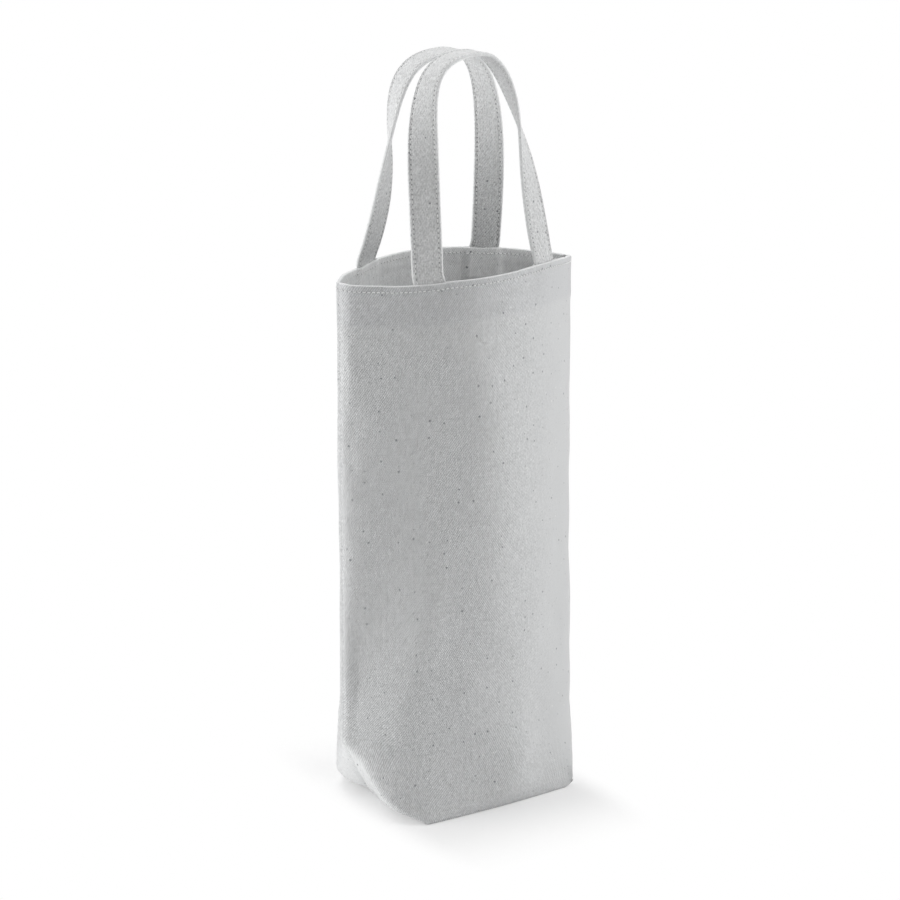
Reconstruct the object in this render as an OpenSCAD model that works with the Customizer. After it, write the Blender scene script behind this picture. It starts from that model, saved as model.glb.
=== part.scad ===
// Boxed canvas carrier for one bottle: two panels sewn at the sides and base,
// a facing turned in at the mouth, and two strap handles caught under it.
// Millimetres. +Z is up, the origin is the middle of the base on the floor,
// and the side seams lie at -X and +X.

/* [Bag] */
// Height of the rim above the floor, at the middle of each panel
body_h = 350; // [240:1:450]
// Width of the boxed base, along the panels
base_w = 112; // [80:1:150]
// Depth of the boxed base
base_d = 106; // [70:1:140]
// Width of the mouth between its side seams
mouth_w = 177; // [140:1:220]
// Depth of the open mouth
mouth_d = 88; // [70:1:120]
// Depth of the bag where the corner folds end
waist_d = 98; // [70:1:130]
// How far the rim drops at the side seams
rim_dip = 5; // [0:0.5:10]
// Angle that the corner folds lean out from upright
corner_lean = 38; // [20:1:50]

/* [Cloth and seams] */
// Thickness of the canvas
cloth_t = 0.8; // [0.5:0.1:1.5]
// Width of the seam allowances inside
seam_allow = 10; // [6:0.5:15]
// Depth of the facing turned in at the mouth
facing_d = 26; // [18:1:40]
// Air between two layers of cloth
layer_gap = 0.1; // [0.05:0.01:0.2]

/* [Handles] */
// Width of the straps
strap_w = 20; // [14:0.5:26]
// Thickness of the folded straps
strap_t = 2; // [1:0.1:3]
// Distance between the two feet of one handle
handle_span = 89; // [74:1:100]
// Height of a handle above the rim
handle_rise = 132; // [100:1:180]
// Air between the two handles where their tops lean together
handle_gap = 3; // [0.5:0.1:6]
// Length of strap sewn in under the facing
tail_len = 20; // [12:1:24]
// Air between the rim and a handle's foot
foot_clear = 0.3; // [0.2:0.05:0.6]

/* [Stitching] */
// Width of a row of stitches
stitch_w = 0.6; // [0.4:0.1:1]
// How far a row of stitches stands off the cloth
stitch_t = 0.4; // [0.2:0.1:0.6]
// Distance of the row at the mouth below the rim
rim_row = 4; // [2:0.5:8]
// Distance of the rows on the straps from their edges
strap_row = 2; // [1:0.5:4]
// Distance of the seam rows from the seam line
seam_row = 1.5; // [1:0.5:3]

/* [Hidden] */

// Shares that shape the cloth, with no length of their own
mouth_bow_share = 0.8;
waist_bow_share = 0.75;
belly_share = 0.8;
dip_share = 2.5;
corner_share = 1.35;
// Angle whose sine spreads the columns of a panel evenly along its curve
spread_angle = 50;
// Shares of the handle's span and rise that shape its arch
leg_in_share = 0.75;
shoulder_in_share = 0.97;
shoulder_up_share = 0.65;
leg_lean_share = 0.85;
twist_share = 1.45;
// Share of the strap's thickness that its folded edges are rounded by
fold_round_share = 0.25;
// Share of the strap's width over which the facing rises to cross a strap
ramp_share = 0.3;

// How finely the cloth is divided
fold_steps = 5;
middle_steps = 12;
upper_steps = 9;
strap_steps = 18;

// Flat cloth: u runs across a panel from its middle, v runs up from the floor
flat_hw = (base_w + base_d) / 2;
fold_r = base_d / 2;
fold_h = fold_r * cos(corner_lean);
waist_hw = base_w / 2 + fold_r * sin(corner_lean);
mouth_hw = mouth_w / 2;

// Thickness of everything at the rim, from the panel's face to the strap's
tail_in = cloth_t + layer_gap;
tail_out = tail_in + strap_t;

function lerp(a, b, f) = a + (b - a) * f;
function spread(t) = sin(spread_angle * t) / sin(spread_angle);
function rise_share(v) = (v - fold_r) / (body_h - fold_r);
function bowed(r, q) = pow(max(0, 1 - r * r), q);

// How far the cloth drops from its middle to a side seam, at height v
function drop(v) = v < fold_r ? v * (1 - cos(corner_lean))
    : lerp(fold_r - fold_h, rim_dip, rise_share(v));

// Half width and half depth of the bag above the folds, o deep in the cloth
function half_w(v, o) = lerp(waist_hw, mouth_hw, rise_share(v)) - corner_share * o;
function half_d(v, o) = lerp(waist_d, mouth_d, rise_share(v)) / 2 - o;
function bow(v) = lerp(waist_bow_share, mouth_bow_share, rise_share(v));

// Half width at a corner fold, at height v below the folds' tips
function fold_x(v, o) = lerp(base_w / 2 - o, waist_hw - corner_share * o, v / fold_r);
function floor_lift(v, o) = o * (1 - v / fold_r);

// A point of the flat triangle between the fold and the side seam
function fold_point(u, v, o) =
    [sign(u) * fold_x(v, o),
     -(flat_hw - abs(u)) * (fold_r - o) / fold_r,
     v * cos(corner_lean) + floor_lift(v, o)];

// A point of the panel between its two corner folds
function lower_point(u, v, o) =
    let (t = u / (base_w / 2 + v),
         x = fold_x(v, o) * spread(t),
         belly = (waist_d / 2 - o) * pow(v / fold_r, belly_share))
    [x,
     -(fold_r - o) * (1 - v / fold_r) - belly * bowed(spread(t), waist_bow_share),
     v - drop(v) * pow(abs(t), dip_share) + floor_lift(v, o)];

// A point of the panel above the corner folds
function upper_point(u, v, o) =
    let (t = u / flat_hw)
    [half_w(v, o) * spread(t),
     -half_d(v, o) * bowed(spread(t), bow(v)),
     v - drop(v) * pow(abs(t), dip_share)];

// A point of the front panel, o inward of its outer face
function cloth(u, v, o) =
    v > fold_r ? upper_point(u, v, o)
    : abs(u) > base_w / 2 + v ? fold_point(u, v, o)
    : lower_point(u, v, o);

// Place u across the panel where the rim stands x from the middle
function rim_u(x) = flat_hw * asin(x / half_w(body_h, tail_in) * sin(spread_angle)) / spread_angle;

// Columns and rows of a panel, set so that each corner fold runs along diagonals
fold_cols = [for (i = [1 : fold_steps]) base_w / 2 + fold_r * i / fold_steps];
middle_cols = [for (i = [0 : middle_steps]) base_w * (i / middle_steps - 1 / 2)];
panel_cols = concat([for (i = [fold_steps - 1 : -1 : 0]) -fold_cols[i]], middle_cols, fold_cols);
fold_rows = [for (i = [0 : fold_steps]) fold_r * i / fold_steps];
upper_rows = [for (i = [1 : upper_steps]) lerp(fold_r, body_h, i / upper_steps)];
panel_rows = concat(fold_rows, upper_rows);

// Two triangles for each cell of a grid of rows by columns, seen from the front
function cell(a, b, c, d, right) = right ? [[a, b, c], [a, c, d]] : [[a, b, d], [b, c, d]];
function skin(rows, cols, first, middle) =
    [for (i = [0 : rows - 2], j = [0 : cols - 2])
        let (k = first + i * cols + j)
        each cell(k, k + cols, k + cols + 1, k + 1, j >= middle)];
function turned(faces) = [for (f = faces) [for (i = [len(f) - 1 : -1 : 0]) f[i]]];

// One panel with its half of the base, as a closed shell of even cloth
module panel_shell() {
    rows = len(panel_rows);
    cols = len(panel_cols);
    inner = rows * cols;
    top = inner - cols;
    outer_pts = [for (v = panel_rows, u = panel_cols) cloth(u, v, 0)];
    inner_pts = [for (v = panel_rows, u = panel_cols) cloth(u, v, cloth_t)];
    last = cols - 1;
    folds = fold_steps;
    rim = [for (j = [top : inner - 2]) [j, j + inner, j + inner + 1, j + 1]];
    // The base is strips from one corner fold to the other, then a fan along the front edge
    base = concat([for (j = [0 : folds - 2]) [j, j + 1, last - 1 - j, last - j]],
        [for (j = [folds : last - folds]) [folds - 1, j, j + 1]]);
    base_in = [for (f = turned(base)) [for (k = f) k + inner]];
    right = [for (i = [last : cols : top]) [i, i + cols, i + cols + inner, i + inner]];
    left = [for (i = [0 : cols : top - cols]) [i + inner, i + inner + cols, i + cols, i]];
    seam = concat(right, left, [[0, last, last + inner, inner]]);
    polyhedron(concat(outer_pts, inner_pts),
        concat(skin(rows, cols, 0, cols / 2),
               turned(skin(rows, cols, inner, cols / 2)),
               rim, base, base_in, seam));
}

// A curved slab of cloth over rows vs and columns us, from depth_out to depth_in
module slab(us, vs, depth_out, depth_in) {
    cols = len(us);
    rows = len(vs);
    inner = rows * cols;
    outer_pts = [for (v = vs, j = [0 : cols - 1]) cloth(us[j], v, depth_out[j])];
    inner_pts = [for (v = vs, j = [0 : cols - 1]) cloth(us[j], v, depth_in[j])];
    top = [for (j = [inner - cols : inner - 2]) [j, j + inner, j + inner + 1, j + 1]];
    bottom = [for (j = [0 : cols - 2]) [j, j + 1, j + inner + 1, j + inner]];
    left = [for (i = [0 : rows - 2]) [i * cols, i * cols + inner, (i + 1) * cols + inner, (i + 1) * cols]];
    right = [for (f = left) [f[0] + cols - 1, f[3] + cols - 1, f[2] + cols - 1, f[1] + cols - 1]];
    polyhedron(concat(outer_pts, inner_pts),
        concat(skin(rows, cols, 0, cols / 2),
               turned(skin(rows, cols, inner, cols / 2)),
               top, bottom, left, right));
}

// Line of the side seam at height v, inset from the outer face
function seam_x(v, inset) = v > fold_r ? half_w(v, 0) - inset : fold_x(v, 0) - inset;
function seam_z(v) = v - drop(v);
seam_rows = concat([for (i = [1 : fold_steps]) fold_rows[i]],
    [for (v = upper_rows) if (v < body_h - facing_d - layer_gap) v], [body_h - facing_d - layer_gap]);

// A flat strip in the plane of the side seams, between two insets and two depths
module seam_strip(inset_a, inset_b, depth, thick) {
    edge_a = [for (v = seam_rows) [seam_x(v, inset_a), seam_z(v)]];
    edge_b = [for (i = [len(seam_rows) - 1 : -1 : 0]) [seam_x(seam_rows[i], inset_b), seam_z(seam_rows[i])]];
    translate([0, -depth, 0])
        rotate([90, 0, 0])
            linear_extrude(thick)
                polygon(concat(edge_a, edge_b));
}

// Seam allowances of one panel: a fin down each side and strips on the base
module allowances() {
    for (side = [0, 1])
        mirror([side, 0, 0])
            seam_strip(cloth_t, cloth_t + seam_allow, 0, cloth_t);
    translate([-base_w / 2 + seam_allow, -seam_allow, cloth_t / 2])
        cube([base_w - 2 * seam_allow, seam_allow, 3 / 2 * cloth_t]);
    for (side = [0, 1])
        mirror([side, 0, 0])
            translate([base_w / 2 - cloth_t - seam_allow, -base_d / 2 + cloth_t, cloth_t / 2])
                cube([seam_allow, base_d / 2 - cloth_t, 3 / 2 * cloth_t]);
}

module front_panel() {
    color("gainsboro")
        union() {
            panel_shell();
            allowances();
        }
}

module back_panel() {
    mirror([0, 1, 0])
        front_panel();
}

// Feet of a handle: place and slope of the rim where a strap is caught
foot_x = handle_span / 2;
foot_r = foot_x / mouth_hw;
foot_angle = atan(mouth_d / 2 * mouth_bow_share * 2 * foot_r / mouth_hw
    * pow(1 - foot_r * foot_r, mouth_bow_share - 1));
foot_hw = strap_w / 2 * cos(foot_angle);

// The facing lies on the panel and rises over each strap's end
ramp = ramp_share * strap_w;
function over_strap(u) =
    let (gap = max(abs(abs(u) - rim_u(foot_x)) - tail_u, 0))
    gap > ramp ? 0 : (1 + cos(180 * gap / ramp)) / 2;
tail_u = (rim_u(foot_x + foot_hw) - rim_u(foot_x - foot_hw)) / 2;
facing_side = [for (i = [0 : 3]) rim_u(foot_x) + tail_u + ramp * i / 3];
facing_near = [for (i = [3 : -1 : 0]) rim_u(foot_x) - tail_u - ramp * i / 3];
facing_half = concat([0, facing_near[0] / 2], facing_near, [rim_u(foot_x)], facing_side,
    [for (u = fold_cols) if (u > facing_side[3]) u]);
facing_cols = concat([for (i = [len(facing_half) - 1 : -1 : 1]) -facing_half[i]], facing_half);
facing_rows = [for (i = [0 : 2]) body_h - facing_d * (1 - i / 2)];
facing_out = [for (u = facing_cols) tail_in + (strap_t + layer_gap) * over_strap(u)];
facing_in = [for (d = facing_out) d + cloth_t];

module front_facing() {
    color("silver")
        slab(facing_cols, facing_rows, facing_out, facing_in);
}

module back_facing() {
    mirror([0, 1, 0])
        front_facing();
}

// Strap ends sewn between the panel and the facing
module front_handle_ends() {
    color("lightgray")
        for (side = [-1, 1])
            slab([for (i = [0 : 4]) rim_u(side * foot_x) + tail_u * (i / 2 - 1)],
                [body_h - tail_len, body_h - tail_len / 2, body_h],
                [for (i = [0 : 4]) tail_in], [for (i = [0 : 4]) tail_out]);
}

module back_handle_ends() {
    mirror([0, 1, 0])
        front_handle_ends();
}

// Arch of a handle, as half a curve from its left foot to its top
foot_pt = cloth(rim_u(-foot_x), body_h, tail_in + strap_t / 2);
foot_z = cloth(rim_u(foot_x - foot_hw), body_h, tail_in)[2] + foot_clear;
top_y = -(strap_w + handle_gap) / 2;
arch = [[-foot_x, foot_pt[1], foot_z],
        [-foot_x * leg_in_share, lerp(foot_pt[1], top_y, leg_lean_share),
         foot_z + handle_rise * shoulder_up_share],
        [-foot_x * shoulder_in_share, top_y, foot_z + handle_rise],
        [0, top_y, foot_z + handle_rise]];
function arch_at(t) = pow(1 - t, 3) * arch[0] + 3 * pow(1 - t, 2) * t * arch[1]
    + 3 * (1 - t) * t * t * arch[2] + t * t * t * arch[3];
function arch_dir(t) =
    let (d = pow(1 - t, 2) * (arch[1] - arch[0]) + 2 * (1 - t) * t * (arch[2] - arch[1])
        + t * t * (arch[3] - arch[2]))
    d / norm(d);

// Direction across the strap, which turns from along the rim to across the arch
function strap_turn(t) =
    lerp(foot_angle, 90, pow(max(0, (arch_at(t)[2] - foot_z) / handle_rise), twist_share));
function strap_across(t) =
    let (b = strap_turn(t), w = [cos(b), -sin(b), 0], flat = w - (w * arch_dir(t)) * arch_dir(t))
    t == 0 ? w : flat / norm(flat);
function strap_out(t) = cross(strap_across(t), t == 0 ? [0, 0, 1] : arch_dir(t));

// A section of the strap at t along the half arch: w across and n out of the strap
function ring(t, section) =
    [for (c = section) arch_at(t) + c[0] * strap_across(t) + c[1] * strap_out(t)];
function flipped(pts) = [for (p = pts) [-p[0], p[1], p[2]]];

// A bar swept over the whole arch. The section lists its lower points from left
// to right, then its upper ones back, so that point k faces the one k from the end
module strap_bar(section) {
    n = strap_steps;
    m = len(section);
    rings = concat([for (i = [0 : n]) ring(i / n, section)],
        [for (i = [n - 1 : -1 : 0]) flipped(ring(i / n, section))]);
    last = m * (len(rings) - 1);
    sides = [for (i = [0 : len(rings) - 2], j = [0 : m - 1])
        let (a = m * i + j, b = m * i + (j + 1) % m)
        each [[a, b, b + m], [a, b + m, a + m]]];
    foot = [for (k = [0 : m / 2 - 2]) [k, k + 1, m - 2 - k, m - 1 - k]];
    polyhedron([for (r = rings) each r],
        concat(turned(sides), foot, turned([for (f = foot) [for (k = f) k + last]])));
}
function box_section(w0, w1, n0, n1) = [[w0, n0], [w1, n0], [w1, n1], [w0, n1]];

// Half the strap's section has points at the stitch rows, so that the stitches lie flat on it
edge_row = strap_w / 2 - strap_row;
fold_round = fold_round_share * strap_t;
half_section = [[-strap_w / 2, fold_round - strap_t / 2],
                [fold_round - strap_w / 2, -strap_t / 2],
                [-edge_row - stitch_w / 2, -strap_t / 2],
                [-edge_row + stitch_w / 2, -strap_t / 2],
                [edge_row - stitch_w / 2, -strap_t / 2],
                [edge_row + stitch_w / 2, -strap_t / 2],
                [strap_w / 2 - fold_round, -strap_t / 2],
                [strap_w / 2, fold_round - strap_t / 2]];

module front_handle() {
    color("lightgray")
        strap_bar(concat(half_section, [for (i = [len(half_section) - 1 : -1 : 0])
            [half_section[i][0], -half_section[i][1]]]));
}

module back_handle() {
    mirror([0, 1, 0])
        front_handle();
}

// Two rows of stitches along the strap, on its outer and its inner face
module front_handle_stitching() {
    near = strap_t / 2 + layer_gap;
    color("whitesmoke")
        for (side = [-1, 1], face = [-1, 1])
            let (w = side * edge_row, n = face * (near + stitch_t / 2))
            strap_bar(box_section(w - stitch_w / 2, w + stitch_w / 2, n - stitch_t / 2, n + stitch_t / 2));
}

module back_handle_stitching() {
    mirror([0, 1, 0])
        front_handle_stitching();
}

// The row of stitches below the rim, outside the panels and inside the facings
module rim_stitching() {
    row_v = [body_h - rim_row - stitch_w / 2, body_h - rim_row + stitch_w / 2];
    out_cols = [for (i = [0 : 2 * middle_steps]) (flat_hw - seam_row) * (i / middle_steps - 1)];
    inner = len(facing_cols) - 2;
    in_cols = [for (i = [1 : inner]) facing_cols[i]];
    in_depth = [for (i = [1 : inner]) facing_in[i] + layer_gap];
    color("whitesmoke")
        for (side = [0, 1])
            mirror([0, side, 0]) {
                slab(out_cols, row_v, [for (u = out_cols) -layer_gap - stitch_t],
                    [for (u = out_cols) -layer_gap]);
                slab(in_cols, row_v, in_depth, [for (d = in_depth) d + stitch_t]);
            }
}

// The rows that close a side seam, on both faces of its allowances
module seam_stitching() {
    inset = 2 * cloth_t + seam_row;
    color("whitesmoke")
        for (side = [0, 1])
            mirror([0, side, 0])
                seam_strip(inset, inset + stitch_w, cloth_t + layer_gap, stitch_t);
}

module right_seam_stitching() {
    seam_stitching();
}

module left_seam_stitching() {
    mirror([1, 0, 0])
        seam_stitching();
}

// The row along the middle of the base
module base_seam_stitching() {
    color("whitesmoke")
        translate([-base_w / 2 + seam_allow, -stitch_w / 2, 2 * cloth_t + layer_gap])
            cube([base_w - 2 * seam_allow, stitch_w, stitch_t]);
}

// The row across a boxed corner
module right_corner_stitching() {
    color("whitesmoke")
        translate([base_w / 2 - cloth_t - seam_row - stitch_w, -base_d / 2 + seam_allow,
                   2 * cloth_t + layer_gap])
            cube([stitch_w, base_d - 2 * seam_allow, stitch_t]);
}

module left_corner_stitching() {
    mirror([1, 0, 0])
        right_corner_stitching();
}

front_panel();
back_panel();
front_facing();
back_facing();
front_handle();
back_handle();
front_handle_ends();
back_handle_ends();
rim_stitching();
left_seam_stitching();
right_seam_stitching();
base_seam_stitching();
left_corner_stitching();
right_corner_stitching();
front_handle_stitching();
back_handle_stitching();
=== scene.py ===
# %% [markdown]
# # A canvas carrier for one bottle
# The real bag is two panels of heavy cotton twill, sewn together at the sides
# and along the base, boxed at the bottom corners, faced at the mouth, and hung
# from two folded straps. CAD and MuJoCo already have its sizes and its joints.
# Here each piece of cloth is made again at the same place, with the softness,
# seams, stitches and weave that the solids leave out. Lengths on the cloth are
# in millimetres until a mesh is made, and then in metres.

# %% Load the frame
import math
import bpy
import numpy as np
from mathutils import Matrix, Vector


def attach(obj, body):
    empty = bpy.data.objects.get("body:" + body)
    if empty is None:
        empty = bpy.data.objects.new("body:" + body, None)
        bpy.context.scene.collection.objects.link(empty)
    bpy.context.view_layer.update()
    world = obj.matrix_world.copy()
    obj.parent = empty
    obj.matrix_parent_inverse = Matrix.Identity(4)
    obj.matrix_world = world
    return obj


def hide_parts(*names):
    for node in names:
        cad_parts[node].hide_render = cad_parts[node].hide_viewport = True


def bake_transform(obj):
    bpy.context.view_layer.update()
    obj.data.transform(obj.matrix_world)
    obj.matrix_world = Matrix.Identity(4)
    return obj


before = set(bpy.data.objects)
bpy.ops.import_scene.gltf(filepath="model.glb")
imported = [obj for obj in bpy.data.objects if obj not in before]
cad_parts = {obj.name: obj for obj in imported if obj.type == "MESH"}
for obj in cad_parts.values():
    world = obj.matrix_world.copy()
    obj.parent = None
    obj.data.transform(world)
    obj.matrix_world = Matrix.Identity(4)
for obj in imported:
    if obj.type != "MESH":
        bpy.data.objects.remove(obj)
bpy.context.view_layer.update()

# %% [markdown]
# ## Camera
# The photograph was taken from a little above, at the bag's front left. A camera
# could be moved by eye until the outlines agree, but a fit to known points is
# surer. So its place comes from the rim, the strap feet and the base corners,
# and is written as an angle round the bag, a distance, a height and a tilt.

# %% Camera
MM = 0.001
CAMERA_ROUND, CAMERA_TURN, CAMERA_TILT = 34.36, 34.22, 16.0  # degrees
CAMERA_DISTANCE, CAMERA_HEIGHT = 1.70294, 0.71562  # metres, from the bag's axis and the floor
PICTURE_PIXELS, FOCAL_PIXELS, SENSOR_WIDTH = 900, 2769.36, 36.0


def add_camera():
    camera = bpy.data.objects.new("photo_camera", bpy.data.cameras.new("photo_camera"))
    bpy.context.scene.collection.objects.link(camera)
    around = math.radians(CAMERA_ROUND)
    camera.location = (-math.sin(around) * CAMERA_DISTANCE,
                       -math.cos(around) * CAMERA_DISTANCE, CAMERA_HEIGHT)
    camera.rotation_euler = (math.radians(90 - CAMERA_TILT), 0, -math.radians(CAMERA_TURN))
    camera.data.sensor_width = SENSOR_WIDTH
    camera.data.lens = FOCAL_PIXELS / PICTURE_PIXELS * SENSOR_WIDTH
    bpy.context.scene.camera = camera
    return camera


print("lens:", round(add_camera().data.lens, 1), "mm")

# %% [markdown]
# ## Light
# The bag stands in a white room of diffusers. Cloth that faces the camera is its
# darkest, and cloth that turns to the right, to the left or up gets brighter.
# One lamp and strong fill would give hard or no shading. So four large soft
# lamps stand round it, none on the camera's side: two at the right, one low at
# the left, and one overhead for the tops and the back. The world fills the
# rest. Their strengths come from pictures made with one lamp at a time, added
# up in the shares that came nearest to the photograph.

# %% Lamps
LAMPS = {  # name: place, size in metres, watts
    "soft_right": ((1.23, -0.80, 0.61), 1.2, 11.0),
    "soft_right_high": ((0.75, -0.75, 1.36), 1.2, 3.8),
    "soft_left": ((-1.36, 0.64, 0.30), 1.0, 15.6),
    "soft_back_high": ((0, 0.62, 1.62), 1.2, 13.5),
}
LAMP_TARGET = (0, 0, 0.2)


def add_lamp(name, place, size, watts):
    data = bpy.data.lights.new(name, "AREA")
    data.shape, data.size, data.energy = "SQUARE", size, watts
    lamp = bpy.data.objects.new(name, data)
    bpy.context.scene.collection.objects.link(lamp)
    lamp.location = place
    aim = [t - p for t, p in zip(LAMP_TARGET, place)]
    lamp.rotation_euler = Vector(aim).to_track_quat("-Z", "Y").to_euler()


for lamp_name, (place, size, watts) in LAMPS.items():
    add_lamp(lamp_name, place, size, watts)
print("lamps:", ", ".join(LAMPS))

# %% [markdown]
# ## White ground
# The photograph's ground is pure white with a soft shadow close to the base.
# A white background could be had by flooding the scene with light, but that
# would bleach the bag. Instead the world is white only where the camera looks
# straight at it, and the floor is a white matte plane that keeps the shadow
# round the bag and passes into plain white a hand's width away. Both are wired
# by a few helpers, which set a node's inputs or link them, so that a chain of
# nodes reads like the sum it works out.

# %% Nodes by function


def feed(tree, slots, values):
    """Set each input to its value, or link it where the value is a socket. None skips one."""
    for slot, value in zip(slots, values):
        if isinstance(value, bpy.types.NodeSocket):
            tree.links.new(value, slot)
        elif value is not None:
            slot.default_value = (*value, 1) if slot.type == "RGBA" else value


def set_inputs(tree, node, **values):
    """The same by name, with _ for a space."""
    feed(tree, [node.inputs[label.replace("_", " ")] for label in values], values.values())


def math_node(tree, operation, *values, clamp=False):
    node = tree.nodes.new("ShaderNodeMath")
    node.operation, node.use_clamp = operation, clamp
    feed(tree, node.inputs, values)
    return node.outputs[0]


def vector_node(tree, operation, *values):
    """The same for vectors. A length is a number."""
    node = tree.nodes.new("ShaderNodeVectorMath")
    node.operation = operation
    feed(tree, node.inputs, values)
    return node.outputs["Value" if operation == "LENGTH" else "Vector"]


def new_paint(name):
    """A material, its node tree and its Principled BSDF."""
    paint = bpy.data.materials.new(name)
    paint.use_nodes = True
    return paint, paint.node_tree, paint.node_tree.nodes["Principled BSDF"]


scene = bpy.context.scene
scene.view_settings.view_transform = "Standard"
print("view transform:", scene.view_settings.view_transform)

# %% World
FILL_LEVEL = 0.325


def white_to_camera(tree, shader, white, share=1.0):
    """Where a camera, mirror or glass ray meets the surface, show that share of plain white."""
    path = tree.nodes.new("ShaderNodeLightPath").outputs
    seen = math_node(tree, "ADD", path["Is Camera Ray"], path["Is Glossy Ray"], clamp=True)
    seen = math_node(tree, "ADD", seen, path["Is Transmission Ray"], clamp=True)
    mix = tree.nodes.new("ShaderNodeMixShader")
    shown = math_node(tree, "MULTIPLY", seen, share)
    feed(tree, mix.inputs, (shown, shader.outputs[0], white.outputs[0]))
    return mix.outputs[0]


def make_world():
    world = bpy.data.worlds.new("white_room")
    world.use_nodes = True
    tree = world.node_tree
    tree.nodes.clear()
    fill, white = (tree.nodes.new("ShaderNodeBackground") for _ in range(2))
    feed(tree, fill.inputs, ((1, 1, 1), FILL_LEVEL))
    feed(tree, white.inputs, ((1, 1, 1), 1.0))
    output = tree.nodes.new("ShaderNodeOutputWorld")
    tree.links.new(white_to_camera(tree, fill, white), output.inputs[0])
    scene.world = world


make_world()
print("world fill:", FILL_LEVEL)

# %% Floor
FLOOR_WHITE, FLOOR_REACH, FLOOR_Z = 0.95, 6.0, -0.0002
FOOTPRINT = (0.056, 0.053)  # half the base, in metres
SHADOW_WHITE, SHADOW_REACH = 0.34, 0.085
# Across the bag the shadow ends sooner, and it lies a little towards the left
SHADOW_SHAPE, SHADOW_ASIDE = (3.0, 1.0, 0.0), (0.003, 0, 0)


def shadow_mask(tree):
    """From SHADOW_WHITE at the foot of the bag up to 1 at SHADOW_REACH from it."""
    place = tree.nodes.new("ShaderNodeNewGeometry").outputs["Position"]
    beside = vector_node(tree, "ABSOLUTE", vector_node(tree, "ADD", place, SHADOW_ASIDE))
    past = vector_node(tree, "SUBTRACT", beside, (*FOOTPRINT, 0))
    gap = vector_node(tree, "MULTIPLY", vector_node(tree, "MAXIMUM", past, (0, 0, 0)), SHADOW_SHAPE)
    share = tree.nodes.new("ShaderNodeMapRange")
    share.interpolation_type = "SMOOTHSTEP"
    set_inputs(tree, share, Value=vector_node(tree, "LENGTH", gap), From_Max=SHADOW_REACH,
               To_Min=SHADOW_WHITE)
    return share.outputs[0]


def make_floor():
    mesh = bpy.data.meshes.new("floor")
    r = FLOOR_REACH
    corners = [(-r, -r, FLOOR_Z), (r, -r, FLOOR_Z), (r, r, FLOOR_Z), (-r, r, FLOOR_Z)]
    mesh.from_pydata(corners, [], [(0, 1, 2, 3)])
    floor = bpy.data.objects.new("floor", mesh)
    scene.collection.objects.link(floor)
    paint, tree, surface = new_paint("white_floor")
    set_inputs(tree, surface, Base_Color=(FLOOR_WHITE,) * 3, Roughness=1.0, Specular_IOR_Level=0.0)
    white = tree.nodes.new("ShaderNodeEmission")
    shown = white_to_camera(tree, surface, white, shadow_mask(tree))
    tree.links.new(shown, tree.nodes["Material Output"].inputs["Surface"])
    mesh.materials.append(paint)
    return floor


print("floor:", make_floor().dimensions.x, "m across")

# %% [markdown]
# ## The flat cloth
# Every piece of this bag is cut flat and then bent, so a point is named by where
# it lies on the flat panel: u across from its middle, v up from the floor line.
# The same few formulas as the solids' carry (u, v) to the standing bag. This
# keeps seams, stitches and weave true to the cloth, which placing them by hand
# in space would not.

# %% Sizes of the bag, in millimetres
BODY_H, BASE_W, BASE_D = 350.0, 112.0, 106.0
MOUTH_W, MOUTH_D, WAIST_D, RIM_DIP = 177.0, 88.0, 98.0, 5.0
MIRROR = {"front": np.array([1, 1, 1]), "back": np.array([1, -1, 1])}
CORNER_LEAN = math.radians(38)  # of a boxed corner's seam, from upright
CLOTH_T, SEAM_ALLOW, FACING_D = 0.8, 10.0, 26.0
STRAP_W, STRAP_T, TAIL_LEN = 19.5, 2.0, 20.0
STRAP_FEET = {"front": (-43.7, 44.1), "back": (-47.5, 44.6)}
RIM_ROW, STRAP_ROW, PITCH = 4.0, 2.3, 3.0  # rows of stitches from an edge, and one stitch

FLAT_HW = (BASE_W + BASE_D) / 2
FOLD_R = BASE_D / 2
WAIST_HW = BASE_W / 2 + FOLD_R * math.sin(CORNER_LEAN)
FOLD_H = FOLD_R * math.cos(CORNER_LEAN)
SPREAD = math.radians(50)  # how strongly the cloth crowds towards the side seams


def lerp(a, b, share):
    return a + (b - a) * share


def spread(t):
    """Cloth crowds together towards the side seams, as seen from the front."""
    return np.sin(SPREAD * t) / math.sin(SPREAD)


def bowed(r, power):
    """How far the wall bows out, from 1 in the middle to 0 at the seams."""
    return np.maximum(0, 1 - r * r) ** power


def rise(v):
    """0 where the corner folds end, 1 at the rim."""
    return (v - FOLD_R) / (BODY_H - FOLD_R)


def drop(v):
    """How much lower the cloth lies at the side seam than in the middle."""
    slanted = v * (1 - math.cos(CORNER_LEAN))
    return np.where(v < FOLD_R, slanted, lerp(FOLD_R - FOLD_H, RIM_DIP, rise(v)))


print("flat half width", FLAT_HW, "mm; waist half width", round(WAIST_HW, 1), "mm")

# %% [markdown]
# ## A panel in four parts
# Each panel is one sheet, but it bends in four ways: the tall wall, the part of
# the wall between the two corner folds, the triangles outside them, which turn
# round the boxed corners, and the half of the base. One surface could be bent
# with a lattice, but then its seams would drift. Four formulas that agree where
# they meet keep them exact.

# %% The four parts of a panel
NARROWER = 1.35  # at the sides, where the walls meet in a point, an inner face is this much narrower
BOW_WAIST, BOW_MOUTH, BOW_FOLDS, DIP = 0.75, 0.8, 0.8, 2.5  # powers of the curves


def above_folds(u, v, o):
    """The tall part over the corner folds. o is how far inside the outer face a point lies."""
    t = u / FLAT_HW
    half_w = lerp(WAIST_HW, MOUTH_W / 2, rise(v)) - NARROWER * o
    half_d = lerp(WAIST_D, MOUTH_D, rise(v)) / 2 - o
    r = spread(t)
    return half_w * r, -half_d * bowed(r, lerp(BOW_WAIST, BOW_MOUTH, rise(v))), v - drop(v) * abs(t) ** DIP


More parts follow.
